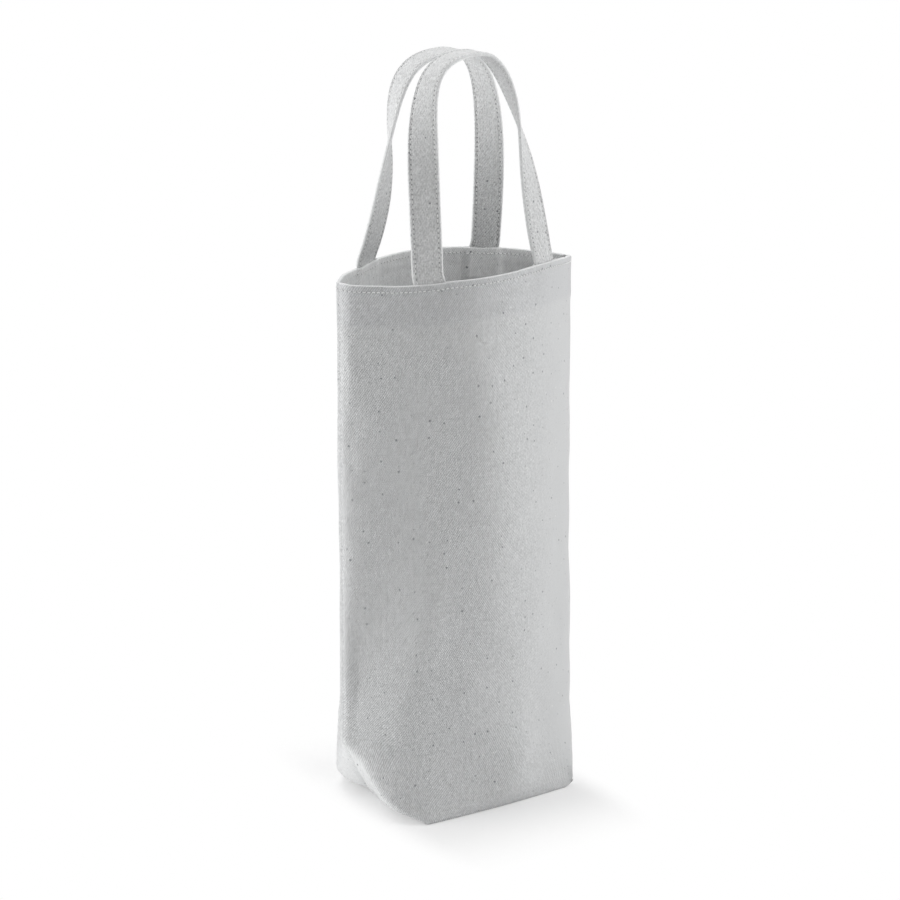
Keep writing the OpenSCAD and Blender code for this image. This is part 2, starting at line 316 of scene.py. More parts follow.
def between_folds(u, v, o):
    s = np.clip(v / FOLD_R, 0, 1)
    t = u / (BASE_W / 2 + np.maximum(v, 0))
    r = spread(t)
    fold_x = lerp(BASE_W / 2 - o, WAIST_HW - NARROWER * o, s)
    y = -(FOLD_R - o) * (1 - s) - (WAIST_D / 2 - o) * s ** BOW_FOLDS * bowed(r, BOW_WAIST)
    return fold_x * r, y, v - drop(v) * abs(t) ** DIP + o * (1 - s)


def outside_folds(u, v, o):
    s = np.clip(v / FOLD_R, 0, 1)
    fold_x = lerp(BASE_W / 2 - o, WAIST_HW - NARROWER * o, s)
    y = -(FLAT_HW - abs(u)) * (FOLD_R - o) / FOLD_R
    return np.sign(u) * fold_x, y, v * math.cos(CORNER_LEAN) + o * (1 - s)


def under_base(u, v, o):
    return u * (1 - o / FOLD_R), -(FOLD_R + v), o


def on_front(u, v, o):
    """Points of the front panel, o millimetres inward of its outer face."""
    u, v, o = np.broadcast_arrays(*(np.asarray(a, float) for a in (u, v, o)))
    parts = [np.stack(np.broadcast_arrays(*part(u, v, o)), -1)
             for part in (above_folds, between_folds, outside_folds, under_base)]
    below = np.where((abs(u) > BASE_W / 2 + v)[..., None], parts[2], parts[1])
    below = np.where((v < 0)[..., None], parts[3], below)
    return np.where((v > FOLD_R)[..., None], parts[0], below)


print("rim middle:", on_front(0, BODY_H, 0).round(1))
print("waist corner:", on_front(FLAT_HW, FOLD_R, 0).round(1))

# %% [markdown]
# ## Softness
# No panel of a sewn bag is a clean curve. The cloth has slow hollows and swells
# from being folded flat, small puckers beside the seams, and a soft ridge where
# the facing ends inside. A simulation would give folds of its own, in other
# places, so the ones in the photograph are laid in one by one: each is a smooth
# swell with a place, a length, a width and a direction on the flat cloth. The
# facing that lies behind the top of the cloth pushes it out in a low ridge.

# %% Swells and hollows: u, v, half length, half width, degrees from upright, height
FRONT_SWELLS = [
    (-92, 133, 115, 17, -12, -3.0),  # the left side, flatter than the solids
    (-56, 118, 65, 13, -10, 3.0),    # a swell low on the left, and its broad foot
    (-65, 64, 22, 26, -33, 3.0),
    (9, 16, 43, 14, -27, 2.2),       # the edge of the flatter right side, by the base
    (-28, 37, 27, 28, 14, -2.1),     # hollows above the base
    (41, 46, 53, 25, -12, -3.0),
    (-105, 319, 69, 15, -7, 3.0),    # the left seam, full below the rim
    (-106, 167, 39, 42, -52, 3.0),
    (84, 119, 139, 13, 2, 2.7),      # the right side, rounder than the left
    (-5, 278, 122, 34, 6, 3.0),      # the long ridge that parts left from right
    (-66, 171, 85, 30, -20, -3.0),   # the long hollow that drifts to the right
    (-18, 261, 118, 24, 7, 3.0),
    (-102, 319, 6, 9, 60, -0.8),     # puckers beside the left seam
    (-101, 240, 22, 7, 12, -0.9),
    (-97, 78, 22, 7, 0, 0.5),        # the seam, full above the boxed corner
    (-100, 299, 10, 6, 30, 0.9),
    (-100, 262, 10, 6, -20, -1.0),
    (-98, 246, 12, 7, 20, 1.1),
    (-100, 223, 12, 7, -15, 1.0),
    (-99, 200, 9, 6, 10, -0.9),
    (-36, 338, 12, 2.2, 0, 0.3),     # the edge of a strap felt through the cloth
]
BACK_SWELLS = [
    (30, 200, 110, 38, -30, -2.6),
    (-55, 130, 120, 16, 18, 2.4),
    (72, 150, 120, 15, 6, 2.6),
    (-12, 40, 38, 22, -12, -2.4),
    (45, 36, 30, 22, 30, -2.0),
    (10, 300, 100, 26, -6, 2.4),
    (-86, 20, 24, 22, 0, 2.2),       # the left back corner, pushed out
    (-92, 50, 24, 14, 0, 2.6),
    (100, 300, 10, 8, 40, -0.7),
    (-101, 180, 24, 7, -12, -0.8),
]
print("swells:", len(FRONT_SWELLS), "in front,", len(BACK_SWELLS), "behind")

# %% How far the cloth stands out
RIPPLE_COUNT, RIPPLE_HEIGHT = 26, 0.055
FACING_RIDGE = 0.55  # the panel stands out by this where the facing lies behind it
STILL_SIDE, STILL_FOOT = 9, 14  # distance from a seam and from the floor where swells are full


def ramp(x, a, b):
    """0 up to a, 1 from b, and smooth between."""
    t = np.clip((x - a) / (b - a), 0, 1)
    return t * t * (3 - 2 * t)


def ripples(u, v, seed):
    """A faint unevenness, the sum of many slow waves in fixed directions."""
    rng = np.random.default_rng(seed)
    total = np.zeros(np.broadcast(u, v).shape)
    for _ in range(RIPPLE_COUNT):
        length, turn, phase = rng.uniform(14, 60), rng.uniform(0, math.pi), rng.uniform(0, 6.3)
        along = u * math.cos(turn) + v * math.sin(turn)
        total += np.sin(along * 2 * math.pi / length + phase) * (length / 40)
    return total * RIPPLE_HEIGHT


def swell(u, v, swells, seed):
    """How far the cloth stands out at (u, v)."""
    facing = BODY_H - FACING_D
    total = ripples(u, v, seed) + FACING_RIDGE * ramp(v, facing - 3, facing + 2)
    for u0, v0, half_length, half_width, degrees, height in swells:
        a = math.radians(degrees)
        du, dv = u - u0, v - v0
        along = (dv * math.cos(a) - du * math.sin(a)) / half_length
        across = (du * math.cos(a) + dv * math.sin(a)) / half_width
        total += height * np.exp(-along ** 2 - across ** 2)
    return total


def held_still(u, v):
    """0 on the floor and at the seams, which hold the cloth, and 1 away from them."""
    return ramp(FLAT_HW - abs(u), 0, STILL_SIDE) * ramp(v, 0, STILL_FOOT)


print("height of the ripples at the middle:", float(ripples(0, 200, 3).round(2)), "mm")

# %% [markdown]
# ## A panel as a fine grid
# The panel is worked out on a grid of points 2 mm apart. Beside the seams the
# cloth turns in by a millimetre, which makes the groove that a seam shows, and
# its creases are softened by averaging each point with its neighbours. A
# subdivision surface would round them too, but by the same amount everywhere.
# Any other piece that lies on the panel is read off this grid, so it follows.

# %% Rows and columns of the grid
CELL = 2.0
SEAM_TURN, SEAM_REACH = 1.0, 1.6  # how deep a seam's groove is and how wide
SOFTEN_ROUNDS = 16
# How much less the fold at the left is softened, and where on the flat cloth this sets in
SHARP_FOLD, SHARP_FROM_TO = 0.75, (62, 72)


def steps(a, b, size=CELL):
    return np.linspace(a, b, max(2, int(round(abs(b - a) / size)) + 1))


def join(*parts):
    return np.unique(np.round(np.concatenate(parts), 4))


half = join(steps(0, BASE_W / 2), steps(BASE_W / 2, FLAT_HW), [FLAT_HW - 1.1, FLAT_HW - 0.5])
GRID_U = join(-half, half)
GRID_V = join(steps(-FOLD_R, 0), steps(0, FOLD_R), steps(FOLD_R, BODY_H),
              [BODY_H - 1, BODY_H - 4])
U, V = np.meshgrid(GRID_U, GRID_V)
IN_PANEL = (V >= 0) | (abs(U) <= BASE_W / 2)
print("grid:", U.shape)

# %% Seams, creases and softening


def seam_gap(u, v):
    """Distance along the cloth to the nearest seam: side, boxed corner or base."""
    side = np.where(v >= 0, FLAT_HW - abs(u), BASE_W / 2 - abs(u))
    corner = np.where((v >= 0) & (abs(u) > BASE_W / 2), v, np.inf)
    return np.minimum(np.minimum(side, corner), v + FOLD_R)


def crease_gap(u, v):
    """Distance to the front edge of the base or to a corner fold."""
    edge = np.where(abs(u) < BASE_W / 2, abs(v), np.inf)
    fold = np.where((v >= 0) & (v < FOLD_R), abs(abs(u) - BASE_W / 2 - v) * 0.7, np.inf)
    tip = np.hypot(abs(u) - FLAT_HW, v - FOLD_R)
    return np.minimum(np.minimum(edge, fold), tip)


def normals_of(points):
    across = np.gradient(points, axis=1)
    up = np.gradient(points, axis=0)
    n = np.cross(across, up)
    return n / np.maximum(np.linalg.norm(n, axis=-1, keepdims=True), 1e-9)


def softened(points, weight):
    """Average each point with its four neighbours, where weight says so."""
    for _ in range(SOFTEN_ROUNDS):
        padded = np.pad(points, ((1, 1), (1, 1), (0, 0)), "edge")
        valid = np.pad(IN_PANEL, 1).astype(float)[..., None]
        total = sum(padded[a:a + len(GRID_V), b:b + len(GRID_U)]
                    * valid[a:a + len(GRID_V), b:b + len(GRID_U)]
                    for a, b in ((0, 1), (2, 1), (1, 0), (1, 2)))
        count = sum(valid[a:a + len(GRID_V), b:b + len(GRID_U)]
                    for a, b in ((0, 1), (2, 1), (1, 0), (1, 2)))
        points = lerp(points, total / np.maximum(count, 1), weight[..., None] * 0.5)
    return points


print("softening rounds:", SOFTEN_ROUNDS)

# %% [markdown]
# ## How the bag stands
# Soft cloth on its own weight gives way in ways that belong to the whole bag.
# The rim stands a little higher at one side, the body is fuller low down, and
# the lower corners are round. The left boxed corner has slumped: its seam
# wanders, its edge stands out and lifts off the floor in three places, and the
# cloth in front of it sags. Moving the vertices of one panel would open its
# seams. So each change is a smooth shift that depends only on where a point of
# the standing bag is, read from a small table, and every piece gets the same.

# %% Tables of shape: a place, then millimetres
# Across the bag: how much higher the rim stands
RIM_HEIGHT = {
    "front": ((-88, 3.2), (-86, 1.9), (-78, 0.7), (-63, -1.2), (-54, -1.5), (-42, -1.4), (-32, -0.4),
              (-8, 0.0), (16, 0.5), (35, 1.3), (54, 1.7), (80, 0.7), (88, -0.8)),
    "back": ((-88, 3.2), (-83, 0.8), (-74, 0.9), (-56, -0.6), (-38, 0.6), (-19, 0.9), (-5, 0.8),
             (21, 0.0), (41, -0.4), (58, -0.7), (74, -1.3), (84, -0.8), (88, -0.8)),
}
RIM_FROM, RIM_OVER = 220, 125  # the height where this sets in, and over how much height
# By height: how much fuller the bag is at the right and at the left
RIGHT_FULL = ((0, 3.2), (6, 4.0), (14, 3.8), (24, 2.0), (36, 0.2), (45, 0))
LEFT_FULL = ((0, 1.5), (6, 3.5), (12, 4.6), (20, 4.8), (30, 3.8), (40, 2.2), (52, 0.8), (65, 0))
FULLER, FULLER_Z, FULLER_REACH = 1.0, 60.0, 45.0  # a broad swell of the right side
# By height: how far the left corner's seam wanders backward
CORNER_BACK = ((0, 16), (5, 9.5), (10, 3.5), (16, -1.5), (22, -4.6), (27, -5.5), (34, -4.6),
               (45, -2), (60, 0))
# Along y: how far the left lower edge stands out. Then the share of that by height, and its way
EDGE_OUT = ((-57, 0), (-53, 0.3), (-44, 1.0), (-30, 1.6), (-14, 1.4), (-8, 0.8), (-2, 0.3), (4, 0))
OUT_SHARE, OUT_WAY = ((0, 0.7), (5, 1.0), (12, 0.9), (24, 0.4), (40, 0)), (-0.85, -0.53)
# By height: how far the cloth sags over the left front corner, and how much higher its fold runs
CORNER_SAG = ((0, 0), (4, 1.8), (10, 4.0), (16, 4.5), (26, 2.6), (40, 0))
TIP_RISE = ((27, 0), (40, 6), (50, 6), (76, 0))
# Where the left lower edge lifts off the floor: y, half length, height
EDGE_LIFTS = ((27, 6, 1.5), (4, 6, 1.5), (-37, 8, 1.4))
EDGE_NEAR, EDGE_LOW = 7, 9  # how far from the edge the lifts reach, across and up
# How far from the middle each change sets in, and how far out it is full
RIGHT_FROM_TO = (35, 55)
LEFT_FROM_TO = {"full": (35, 57), "back": (30, 56), "out": (25, 53), "sag": (48, 60), "tip": (60, 76)}
SAG_FRONT, TIP_FRONT, TIP_BACK = (8, 22), (-36, -20), (-44, -22)  # the same along y
# Radius of each corner of the base, by panel and by side, and how far its effect reaches
CORNER_ROUND = {("front", 1): 8.0, ("front", -1): 0.0, ("back", 1): 6.0, ("back", -1): 5.0}
ROUND_FROM_TO, ROUND_HIGH, ROUND_SHARE = (28, 46), 20, 0.94
print("the left corner's seam wanders by", max(b for _, b in CORNER_BACK), "mm")

# %% The left boxed corner


def read_table(table, x):
    return np.interp(x, *np.transpose(table))


def at_left(change, x):
    return ramp(-x, *LEFT_FROM_TO[change])


def slumped_corner(x, y, z):
    """Shifts of the left boxed corner: backward, outward and up. y is below 0 in front."""
    middle = np.clip(1 - (y / FOLD_R) ** 2, 0, 1) ** 2
    back = read_table(CORNER_BACK, z) * middle * at_left("back", x)
    out = read_table(EDGE_OUT, y) * read_table(OUT_SHARE, z) * at_left("out", x)
    near = np.exp(-((x + BASE_W / 2) / EDGE_NEAR) ** 2 - (z / EDGE_LOW) ** 2)
    off_floor = sum(h * np.exp(-((y - y0) / half) ** 2) for y0, half, h in EDGE_LIFTS) * near
    sag = read_table(CORNER_SAG, z) * ramp(-y, *SAG_FRONT) * at_left("sag", x)
    tip = read_table(TIP_RISE, z) * at_left("tip", x) * ramp(y, *TIP_FRONT) * ramp(-y, *TIP_BACK)
    return back, out, off_floor - sag + tip


shifts = [float(shift.round(2)) for shift in slumped_corner(-BASE_W / 2, -BASE_D / 4, 10.0)]
print("backward, outward and up, 10 mm over the left front corner:", shifts)

# %% The whole bag


def corner_lift(side, x, y, z):
    """How far a rounded corner of the base stands off the floor."""
    total = 0
    for sign in (-1, 1):
        r = CORNER_ROUND[side, sign]
        dx = np.clip(sign * x - (BASE_W / 2 - r), 0, r)
        round_off = r - np.sqrt(np.maximum(r * r - (ROUND_SHARE * dx) ** 2, 0))
        near = ramp(-y, *ROUND_FROM_TO) * np.clip(1 - z / ROUND_HIGH, 0, 1)
        total = total + round_off * near
    return total


def settled(points, side):
    """Small changes of shape that the whole bag shares, so its seams stay closed."""
    x, y, z = points[..., 0], points[..., 1], points[..., 2]
    flip = MIRROR[side][1]
    back, out, up = slumped_corner(x, y * flip, z)
    swollen = np.exp(-((z - FULLER_Z) / FULLER_REACH) ** 2)
    aside = FULLER * np.clip(x / WAIST_HW, 0, 1) ** 3 * swollen
    aside = aside + read_table(RIGHT_FULL, z) * ramp(x, *RIGHT_FROM_TO)
    aside = aside - read_table(LEFT_FULL, z) * at_left("full", x)
    rim = read_table(RIM_HEIGHT[side], x) * np.clip((z - RIM_FROM) / RIM_OVER, 0, 1) ** 2
    lift = rim + corner_lift(side, x, y, z) + up
    return points + np.stack([aside + out * OUT_WAY[0], (back + out * OUT_WAY[1]) * flip, lift], -1)


def settled_in_place(points):
    """The same for points of the whole bag, whose back half is a mirrored front."""
    points = np.asarray(points, float)
    front, back = (settled(points * flip, side) * flip for side, flip in MIRROR.items())
    return np.where(points[..., 1:2] <= 0, front, back)


print("the front right corner is settled to", settled_in_place([BASE_W / 2, -FOLD_R, 0]).round(1))

# %% Both panels as grids


def make_grid(swells, seed, side):
    turn = SEAM_TURN * np.exp(-(seam_gap(U, V) / SEAM_REACH) ** 2)
    flat = on_front(U, V, turn)
    push = swell(U, V, swells, seed) * held_still(U, V)
    moved = flat + normals_of(on_front(U, V, 0.0)) * push[..., None]
    free = np.clip((seam_gap(U, V) - 1) / 3, 0, 1)
    sharp = 1 - SHARP_FOLD * ramp(-U, *SHARP_FROM_TO) if side == "front" else 1
    soft = softened(moved, np.clip(1.6 - crease_gap(U, V) / 9, 0, 1) * free * sharp)
    soft[..., 2] = np.where(V <= 0, np.maximum(flat[..., 2], 0), np.maximum(soft[..., 2], 0))
    return settled(soft, side)


GRIDS = {"front": make_grid(FRONT_SWELLS, 3, "front"), "back": make_grid(BACK_SWELLS, 5, "back")}
NORMALS = {side: normals_of(grid) for side, grid in GRIDS.items()}
print("front panel reaches y =", GRIDS["front"][..., 1].min().round(1), "mm")

# %% Read a point off a panel


def place_on(side, u, v, depth):
    """Points at (u, v), depth millimetres inside the softened panel. Back is mirrored."""
    u, v, depth = np.broadcast_arrays(*(np.asarray(a, float) for a in (u, v, depth)))
    j = np.clip(np.searchsorted(GRID_U, u) - 1, 0, len(GRID_U) - 2)
    i = np.clip(np.searchsorted(GRID_V, v) - 1, 0, len(GRID_V) - 2)
    s = ((u - GRID_U[j]) / (GRID_U[j + 1] - GRID_U[j]))[..., None]
    t = ((v - GRID_V[i]) / (GRID_V[i + 1] - GRID_V[i]))[..., None]

    def mixed(grid):
        below = lerp(grid[i, j], grid[i, j + 1], s)
        return lerp(below, lerp(grid[i + 1, j], grid[i + 1, j + 1], s), t)

    points = mixed(GRIDS[side]) - mixed(NORMALS[side]) * depth[..., None]
    points[..., 2] = np.maximum(points[..., 2], 0)
    return points * MIRROR[side]


print("strap foot:", place_on("front", -60, BODY_H, 2).round(1))

# %% [markdown]
# ## Cloth with thickness
# A sheet with no thickness looks like paper at its edges. A Solidify modifier
# would thicken it evenly, but at the mouth and over a strap the inner face has a
# shape of its own. So each piece is a closed shell: an outer grid, an inner grid
# and a rim of faces that joins them. Each point also keeps its place on the flat
# cloth as a UV, in metres, and that is what the weave follows.

# %% Build a mesh


def to_object(name, points, faces, flat, material):
    """One smooth mesh in metres. faces is an array of quads or a list of faces of any length."""
    mesh = bpy.data.meshes.new(name)
    faces = faces.tolist() if isinstance(faces, np.ndarray) else faces
    mesh.from_pydata((np.asarray(points) * MM).tolist(), [], faces)
    mesh.polygons.foreach_set("use_smooth", np.ones(len(faces), bool))
    layer = mesh.uv_layers.new(name="Flat")
    corner = np.empty(len(mesh.loops), int)
    mesh.loops.foreach_get("vertex_index", corner)
    layer.data.foreach_set("uv", (np.asarray(flat)[corner] * MM).ravel())
    mesh.materials.append(material)
    made = bpy.data.objects.new(name, mesh)
    scene.collection.objects.link(made)
    return made


print("one metre is", 1 / MM, "mm")

# %% Closed shells


def grid_quads(rows, cols, kept=None):
    k = np.arange(rows * cols).reshape(rows, cols)
    quads = np.stack([k[:-1, :-1], k[:-1, 1:], k[1:, 1:], k[1:, :-1]], -1)
    return quads.reshape(-1, 4) if kept is None else quads[kept]


def closed_shell(outer, inner, flat, kept=None):
    """Two grids of points as one closed shell: its points, quads and flat places."""
    rows, cols = outer.shape[:2]
    quads = grid_quads(rows, cols, kept)
    count = rows * cols
    edges = np.concatenate([quads[:, [a, (a + 1) % 4]] for a in range(4)])
    key = edges[:, 0] * count + edges[:, 1]
    reverse = edges[:, 1] * count + edges[:, 0]
    border = edges[~np.isin(key, reverse)]
    sides = np.stack([border[:, 1], border[:, 0], border[:, 0] + count, border[:, 1] + count], -1)
    faces = np.concatenate([quads, quads[:, ::-1] + count, sides])
    points = np.concatenate([outer.reshape(-1, 3), inner.reshape(-1, 3)])
    flat2 = np.concatenate([flat.reshape(-1, 2)] * 2)
    used = np.unique(faces)
    new = np.zeros(len(points), int)
    new[used] = np.arange(len(used))
    return points[used], new[faces], flat2[used]


def merged(shells):
    """Several shells as one set of points, faces and flat places."""
    points, faces, flats, base = [], [], [], 0
    for p, f, uv in shells:
        points.append(p)
        faces.append(f + base)
        flats.append(uv)
        base += len(p)
    return np.concatenate(points), np.concatenate(faces), np.concatenate(flats)


print("quads in a grid of 3 by 4 points:", len(grid_quads(3, 4)))

# %% Places on the flat cloth
# Each piece has one of its own, and those with rows are a whole number of stitches away
BACK_PLACE, FACING_PLACE, STRAP_PLACE = (167 * PITCH, 0), (0, 400), (0, 334 * PITCH)


def mirrored(shell, side):
    """The back of the bag is the front turned over, so its faces turn over too."""
    points, faces, flat = shell
    return (points, faces[:, ::-1], flat + BACK_PLACE) if side == "back" else shell


print("places on the flat cloth, in mm:", BACK_PLACE, FACING_PLACE, STRAP_PLACE)

# %% [markdown]
# ## The cloth's finish
# The canvas is an undyed-looking light grey twill. Up close it has fine slanted
# ribs, yarns of slightly uneven tone, and a scatter of dark and pale flecks of
# seed and lint. A scan of real cloth would be an image and would repeat. So each
# effect is a node group that works in metres on the flat cloth, and the straps
# and facings share it with values of their own.

# %% Make a node group
FLOAT, VECTOR = "NodeSocketFloat", "NodeSocketVector"


def new_group(name, ins, outs):
    """A group with named inputs and outputs: its tree, the inputs' values, the outputs' places."""
    group = bpy.data.node_groups.new(name, "ShaderNodeTree")
    for label, kind, value in ins:
        socket = group.interface.new_socket(label, in_out="INPUT", socket_type=kind)
        if value is not None:
            socket.default_value = value
    for label, kind in outs:
        group.interface.new_socket(label, in_out="OUTPUT", socket_type=kind)
    start, end = group.nodes.new("NodeGroupInput"), group.nodes.new("NodeGroupOutput")
    return group, start.outputs, end.inputs


def texture(tree, kind, vector, **values):
    node = tree.nodes.new(kind)
    set_inputs(tree, node, Vector=vector, **values)
    return node


def split_up(tree, vector):
    node = tree.nodes.new("ShaderNodeSeparateXYZ")
    tree.links.new(vector, node.inputs[0])
    return node.outputs


print("group sockets:", FLOAT, VECTOR)

# %% Twill weave group


def make_twill():
    """Slanted ribs, each broken into the short floats of single yarns."""
    tree, value, end = new_group(
        "Twill_Weave",
        [("Vector", VECTOR, None), ("Rib Spacing", FLOAT, 0.001), ("Rib Slant", FLOAT, 0.75),
         ("Unevenness", FLOAT, 0.5)],
        [("Height", FLOAT), ("Rib", FLOAT)])
    noise = texture(tree, "ShaderNodeTexNoise", value["Vector"], Scale=260.0, Detail=1.0)
    u, v, _ = split_up(tree, value["Vector"])
    wobble = math_node(tree, "MULTIPLY", noise.outputs[0], value["Unevenness"])
    lean = math_node(tree, "MULTIPLY", v, value["Rib Slant"])
    waves = []
    for way in ("SUBTRACT", "ADD"):
        turns = math_node(tree, "DIVIDE", math_node(tree, way, u, lean), value["Rib Spacing"])
        angle = math_node(tree, "MULTIPLY", math_node(tree, "ADD", turns, wobble), 2 * math.pi)
        waves.append(math_node(tree, "SINE", angle))
    rib = math_node(tree, "MULTIPLY_ADD", waves[0], 0.5, 0.5)
    crossing = math_node(tree, "MULTIPLY", waves[1], 0.18)
    tree.links.new(math_node(tree, "ADD", rib, crossing), end["Height"])
    tree.links.new(rib, end["Rib"])
    return tree


TWILL = make_twill()
print("group:", TWILL.name)

# %% Fleck group


def make_flecks():
    """A mask of small round specks, one in some of the cells of a Voronoi pattern."""
    tree, value, end = new_group(
        "Cotton_Flecks",
        [("Vector", VECTOR, None), ("Cells Per Metre", FLOAT, 120.0),
         ("Speck Size", FLOAT, 0.1), ("Amount", FLOAT, 0.3)],
        [("Mask", FLOAT)])
    cells = texture(tree, "ShaderNodeTexVoronoi", value["Vector"], Scale=value["Cells Per Metre"])
    cells.voronoi_dimensions = "2D"
    tone = tree.nodes.new("ShaderNodeSeparateColor")
    tree.links.new(cells.outputs["Color"], tone.inputs[0])
    chosen = math_node(tree, "LESS_THAN", tone.outputs[0], value["Amount"])
    larger = math_node(tree, "ADD", tone.outputs[1], 0.45)
    size = math_node(tree, "MULTIPLY", value["Speck Size"], larger)
    gap = math_node(tree, "DIVIDE", cells.outputs["Distance"], size)
    near = math_node(tree, "SUBTRACT", 1.0, gap, clamp=True)
    soft = math_node(tree, "MULTIPLY", near, 2.2, clamp=True)
    tree.links.new(math_node(tree, "MULTIPLY", chosen, soft), end["Mask"])
    return tree


FLECKS = make_flecks()
print("group:", FLECKS.name)

# %% Yarn group


def make_yarn():
    """Long uneven streaks along the yarns, from 0, darker, to 1, lighter."""
    tree, value, end = new_group(
        "Yarn_Tone",
        [("Vector", VECTOR, None), ("Yarns Per Metre", FLOAT, 900.0), ("Slub Length", FLOAT, 0.012)],
        [("Along", FLOAT), ("Cloud", FLOAT)])
    flat = split_up(tree, value["Vector"])
    streaks = []
    for across, along, share in ((0, 1, 0.65), (1, 0, 0.35)):
        place = tree.nodes.new("ShaderNodeCombineXYZ")
        yarn = math_node(tree, "MULTIPLY", flat[across], value["Yarns Per Metre"])
        slub = math_node(tree, "DIVIDE", flat[along], value["Slub Length"])
        feed(tree, place.inputs, (yarn, slub, 3.0 * across))
        noise = texture(tree, "ShaderNodeTexNoise", place.outputs[0], Scale=1.0, Detail=1.0)
        streaks.append(math_node(tree, "MULTIPLY", noise.outputs[0], share))
    tree.links.new(math_node(tree, "ADD", *streaks), end["Along"])
    cloud = texture(tree, "ShaderNodeTexNoise", value["Vector"], Scale=22.0, Detail=3.0)
    tree.links.new(cloud.outputs[0], end["Cloud"])
    return tree


YARN = make_yarn()
print("group:", YARN.name)

# %% Needle hole and edge ramp groups


def make_holes():
    """A mask of needle holes: one every pitch along a row at a set distance across."""
    tree, value, end = new_group(
        "Needle_Holes",
        [("Across", FLOAT, 0.0), ("Along", FLOAT, 0.0), ("Row", FLOAT, 0.0075),
         ("Pitch", FLOAT, 0.003), ("Size", FLOAT, 0.00035)],
        [("Mask", FLOAT)])
    off_row = math_node(tree, "SUBTRACT", math_node(tree, "ABSOLUTE", value["Across"]), value["Row"])
    count = math_node(tree, "DIVIDE", value["Along"], value["Pitch"])
    part = math_node(tree, "SUBTRACT", count, math_node(tree, "ROUND", count))
    off_hole = math_node(tree, "MULTIPLY", part, value["Pitch"])
    squares = [math_node(tree, "MULTIPLY", x, x) for x in (off_row, off_hole)]
    gap = math_node(tree, "SQRT", math_node(tree, "ADD", *squares))
    mask = math_node(tree, "SUBTRACT", 1.6, math_node(tree, "DIVIDE", gap, value["Size"]), clamp=True)
    tree.links.new(mask, end["Mask"])
    return tree


def make_edge():
    """A mask that rises from 0 at one distance across to 1 at another, on both sides alike."""
    tree, value, end = new_group(
        "Across_Ramp",
        [("Across", FLOAT, 0.0), ("Start", FLOAT, 0.008), ("End", FLOAT, 0.009)],
        [("Mask", FLOAT)])
    rising = tree.nodes.new("ShaderNodeMapRange")
    rising.interpolation_type = "SMOOTHSTEP"
    set_inputs(tree, rising, Value=math_node(tree, "ABSOLUTE", value["Across"]),
               From_Min=value["Start"], From_Max=value["End"])
    tree.links.new(rising.outputs[0], end["Mask"])
    return tree


HOLES, EDGE = make_holes(), make_edge()
print("groups:", HOLES.name, EDGE.name)

# %% [markdown]
# ### The canvas
# One recipe makes all the cloth. Its tone is the product of ribs, yarns and a
# slow cloudiness, flecks lie over it, and a shallow bump carries the weave.
# There is a needle hole at each end of a stitch, dented and painted dark as
# painted shade, and the folded edges get a painted highlight, a pale tone. The
# reverse, seen in the mouth, is paler and smoother: partly as a twill's reverse
# is, and partly as painted light that brightens the inside of the mouth. The
# outer face has three more marks: a slightly darker band of painted shade where
# the facing lines it, a stretch at the right where the yarns' tone has less
# contrast, and painted light on the cloth outside the corner folds. They could
# be drawn in an image, but a mask tied to the flat cloth stays in place at any
# size.

# %% Mix, place and multiply


def mix_color(tree, factor, a, b, blend="MIX"):
    node = tree.nodes.new("ShaderNodeMix")
    node.data_type, node.blend_type = "RGBA", blend
    sockets = [s for s in node.inputs if s.enabled]
    feed(tree, (sockets[0], sockets[-2], sockets[-1]), (factor, a, b))
    return [s for s in node.outputs if s.enabled][0]


def place_group(tree, group, **values):
    """Put in a group with its inputs set or linked by name, and give its outputs."""
    node = tree.nodes.new("ShaderNodeGroup")
    node.node_tree = group
    set_inputs(tree, node, **values)
    return node.outputs


def around_one(tree, value, share):
    """Turn a 0 to 1 value into a multiplier whose middle is 1."""
    return math_node(tree, "MULTIPLY_ADD", value, share, 1 - share / 2)


def product(tree, values):
    total = values[0]
    for value in values[1:]:
        total = math_node(tree, "MULTIPLY", total, value)
    return total


def grey(tree, level):
    shade = tree.nodes.new("ShaderNodeCombineColor")
    feed(tree, shade.inputs, (level,) * 3)
    return shade.outputs[0]


def flat_place(tree):
    """Where a point lies on the flat cloth, in metres."""
    flat = tree.nodes.new("ShaderNodeUVMap")
    flat.uv_map = "Flat"
    return flat.outputs[0]


def bumped(tree, height, distance):
    """The normal of a surface whose relief is height times this many metres."""
    relief = tree.nodes.new("ShaderNodeBump")
    set_inputs(tree, relief, Strength=1.0, Distance=distance, Height=height)
    return relief.outputs[0]


helpers = (mix_color, place_group, around_one, product, grey, flat_place, bumped)
print("helpers:", ", ".join(helper.__name__ for helper in helpers))

# %% Seams, painted light and shade, and calmer yarns, in metres on the flat cloth
# The first is the tone of painted light: a highlight along folded edges, and the paler cloth outside the
# corner folds
PALE_PAINTED_LIGHT, EDGE_HIGHLIGHT_OVER = (0.93, 0.94, 0.94), 0.003  # its colour, and how far past an edge it goes
CALM_STRETCH = ((0.120, 0.185), (0.31, 0.41))  # from the left seam: where it starts and where it ends
CALM_CONTRAST = 0.06  # what is left there of the yarns' contrast
# Painted light on the cloth outside the corner folds: how far inside a fold it begins, how fast it rises
# per metre, and its share
CORNER_INSIDE, CORNER_GAIN, CORNER_PAINTED_LIGHT = 0.005, 120.0, 0.5
# A band of painted shade where the facing lines the cloth, since less light comes through two layers than
# through one; then where it starts and ends
LINED_PAINTED_SHADE = (0.945, 0.945, 0.952)
LINED_EDGE = ((BODY_H - FACING_D - 2.5) * MM, (BODY_H - FACING_D + 2.5) * MM)


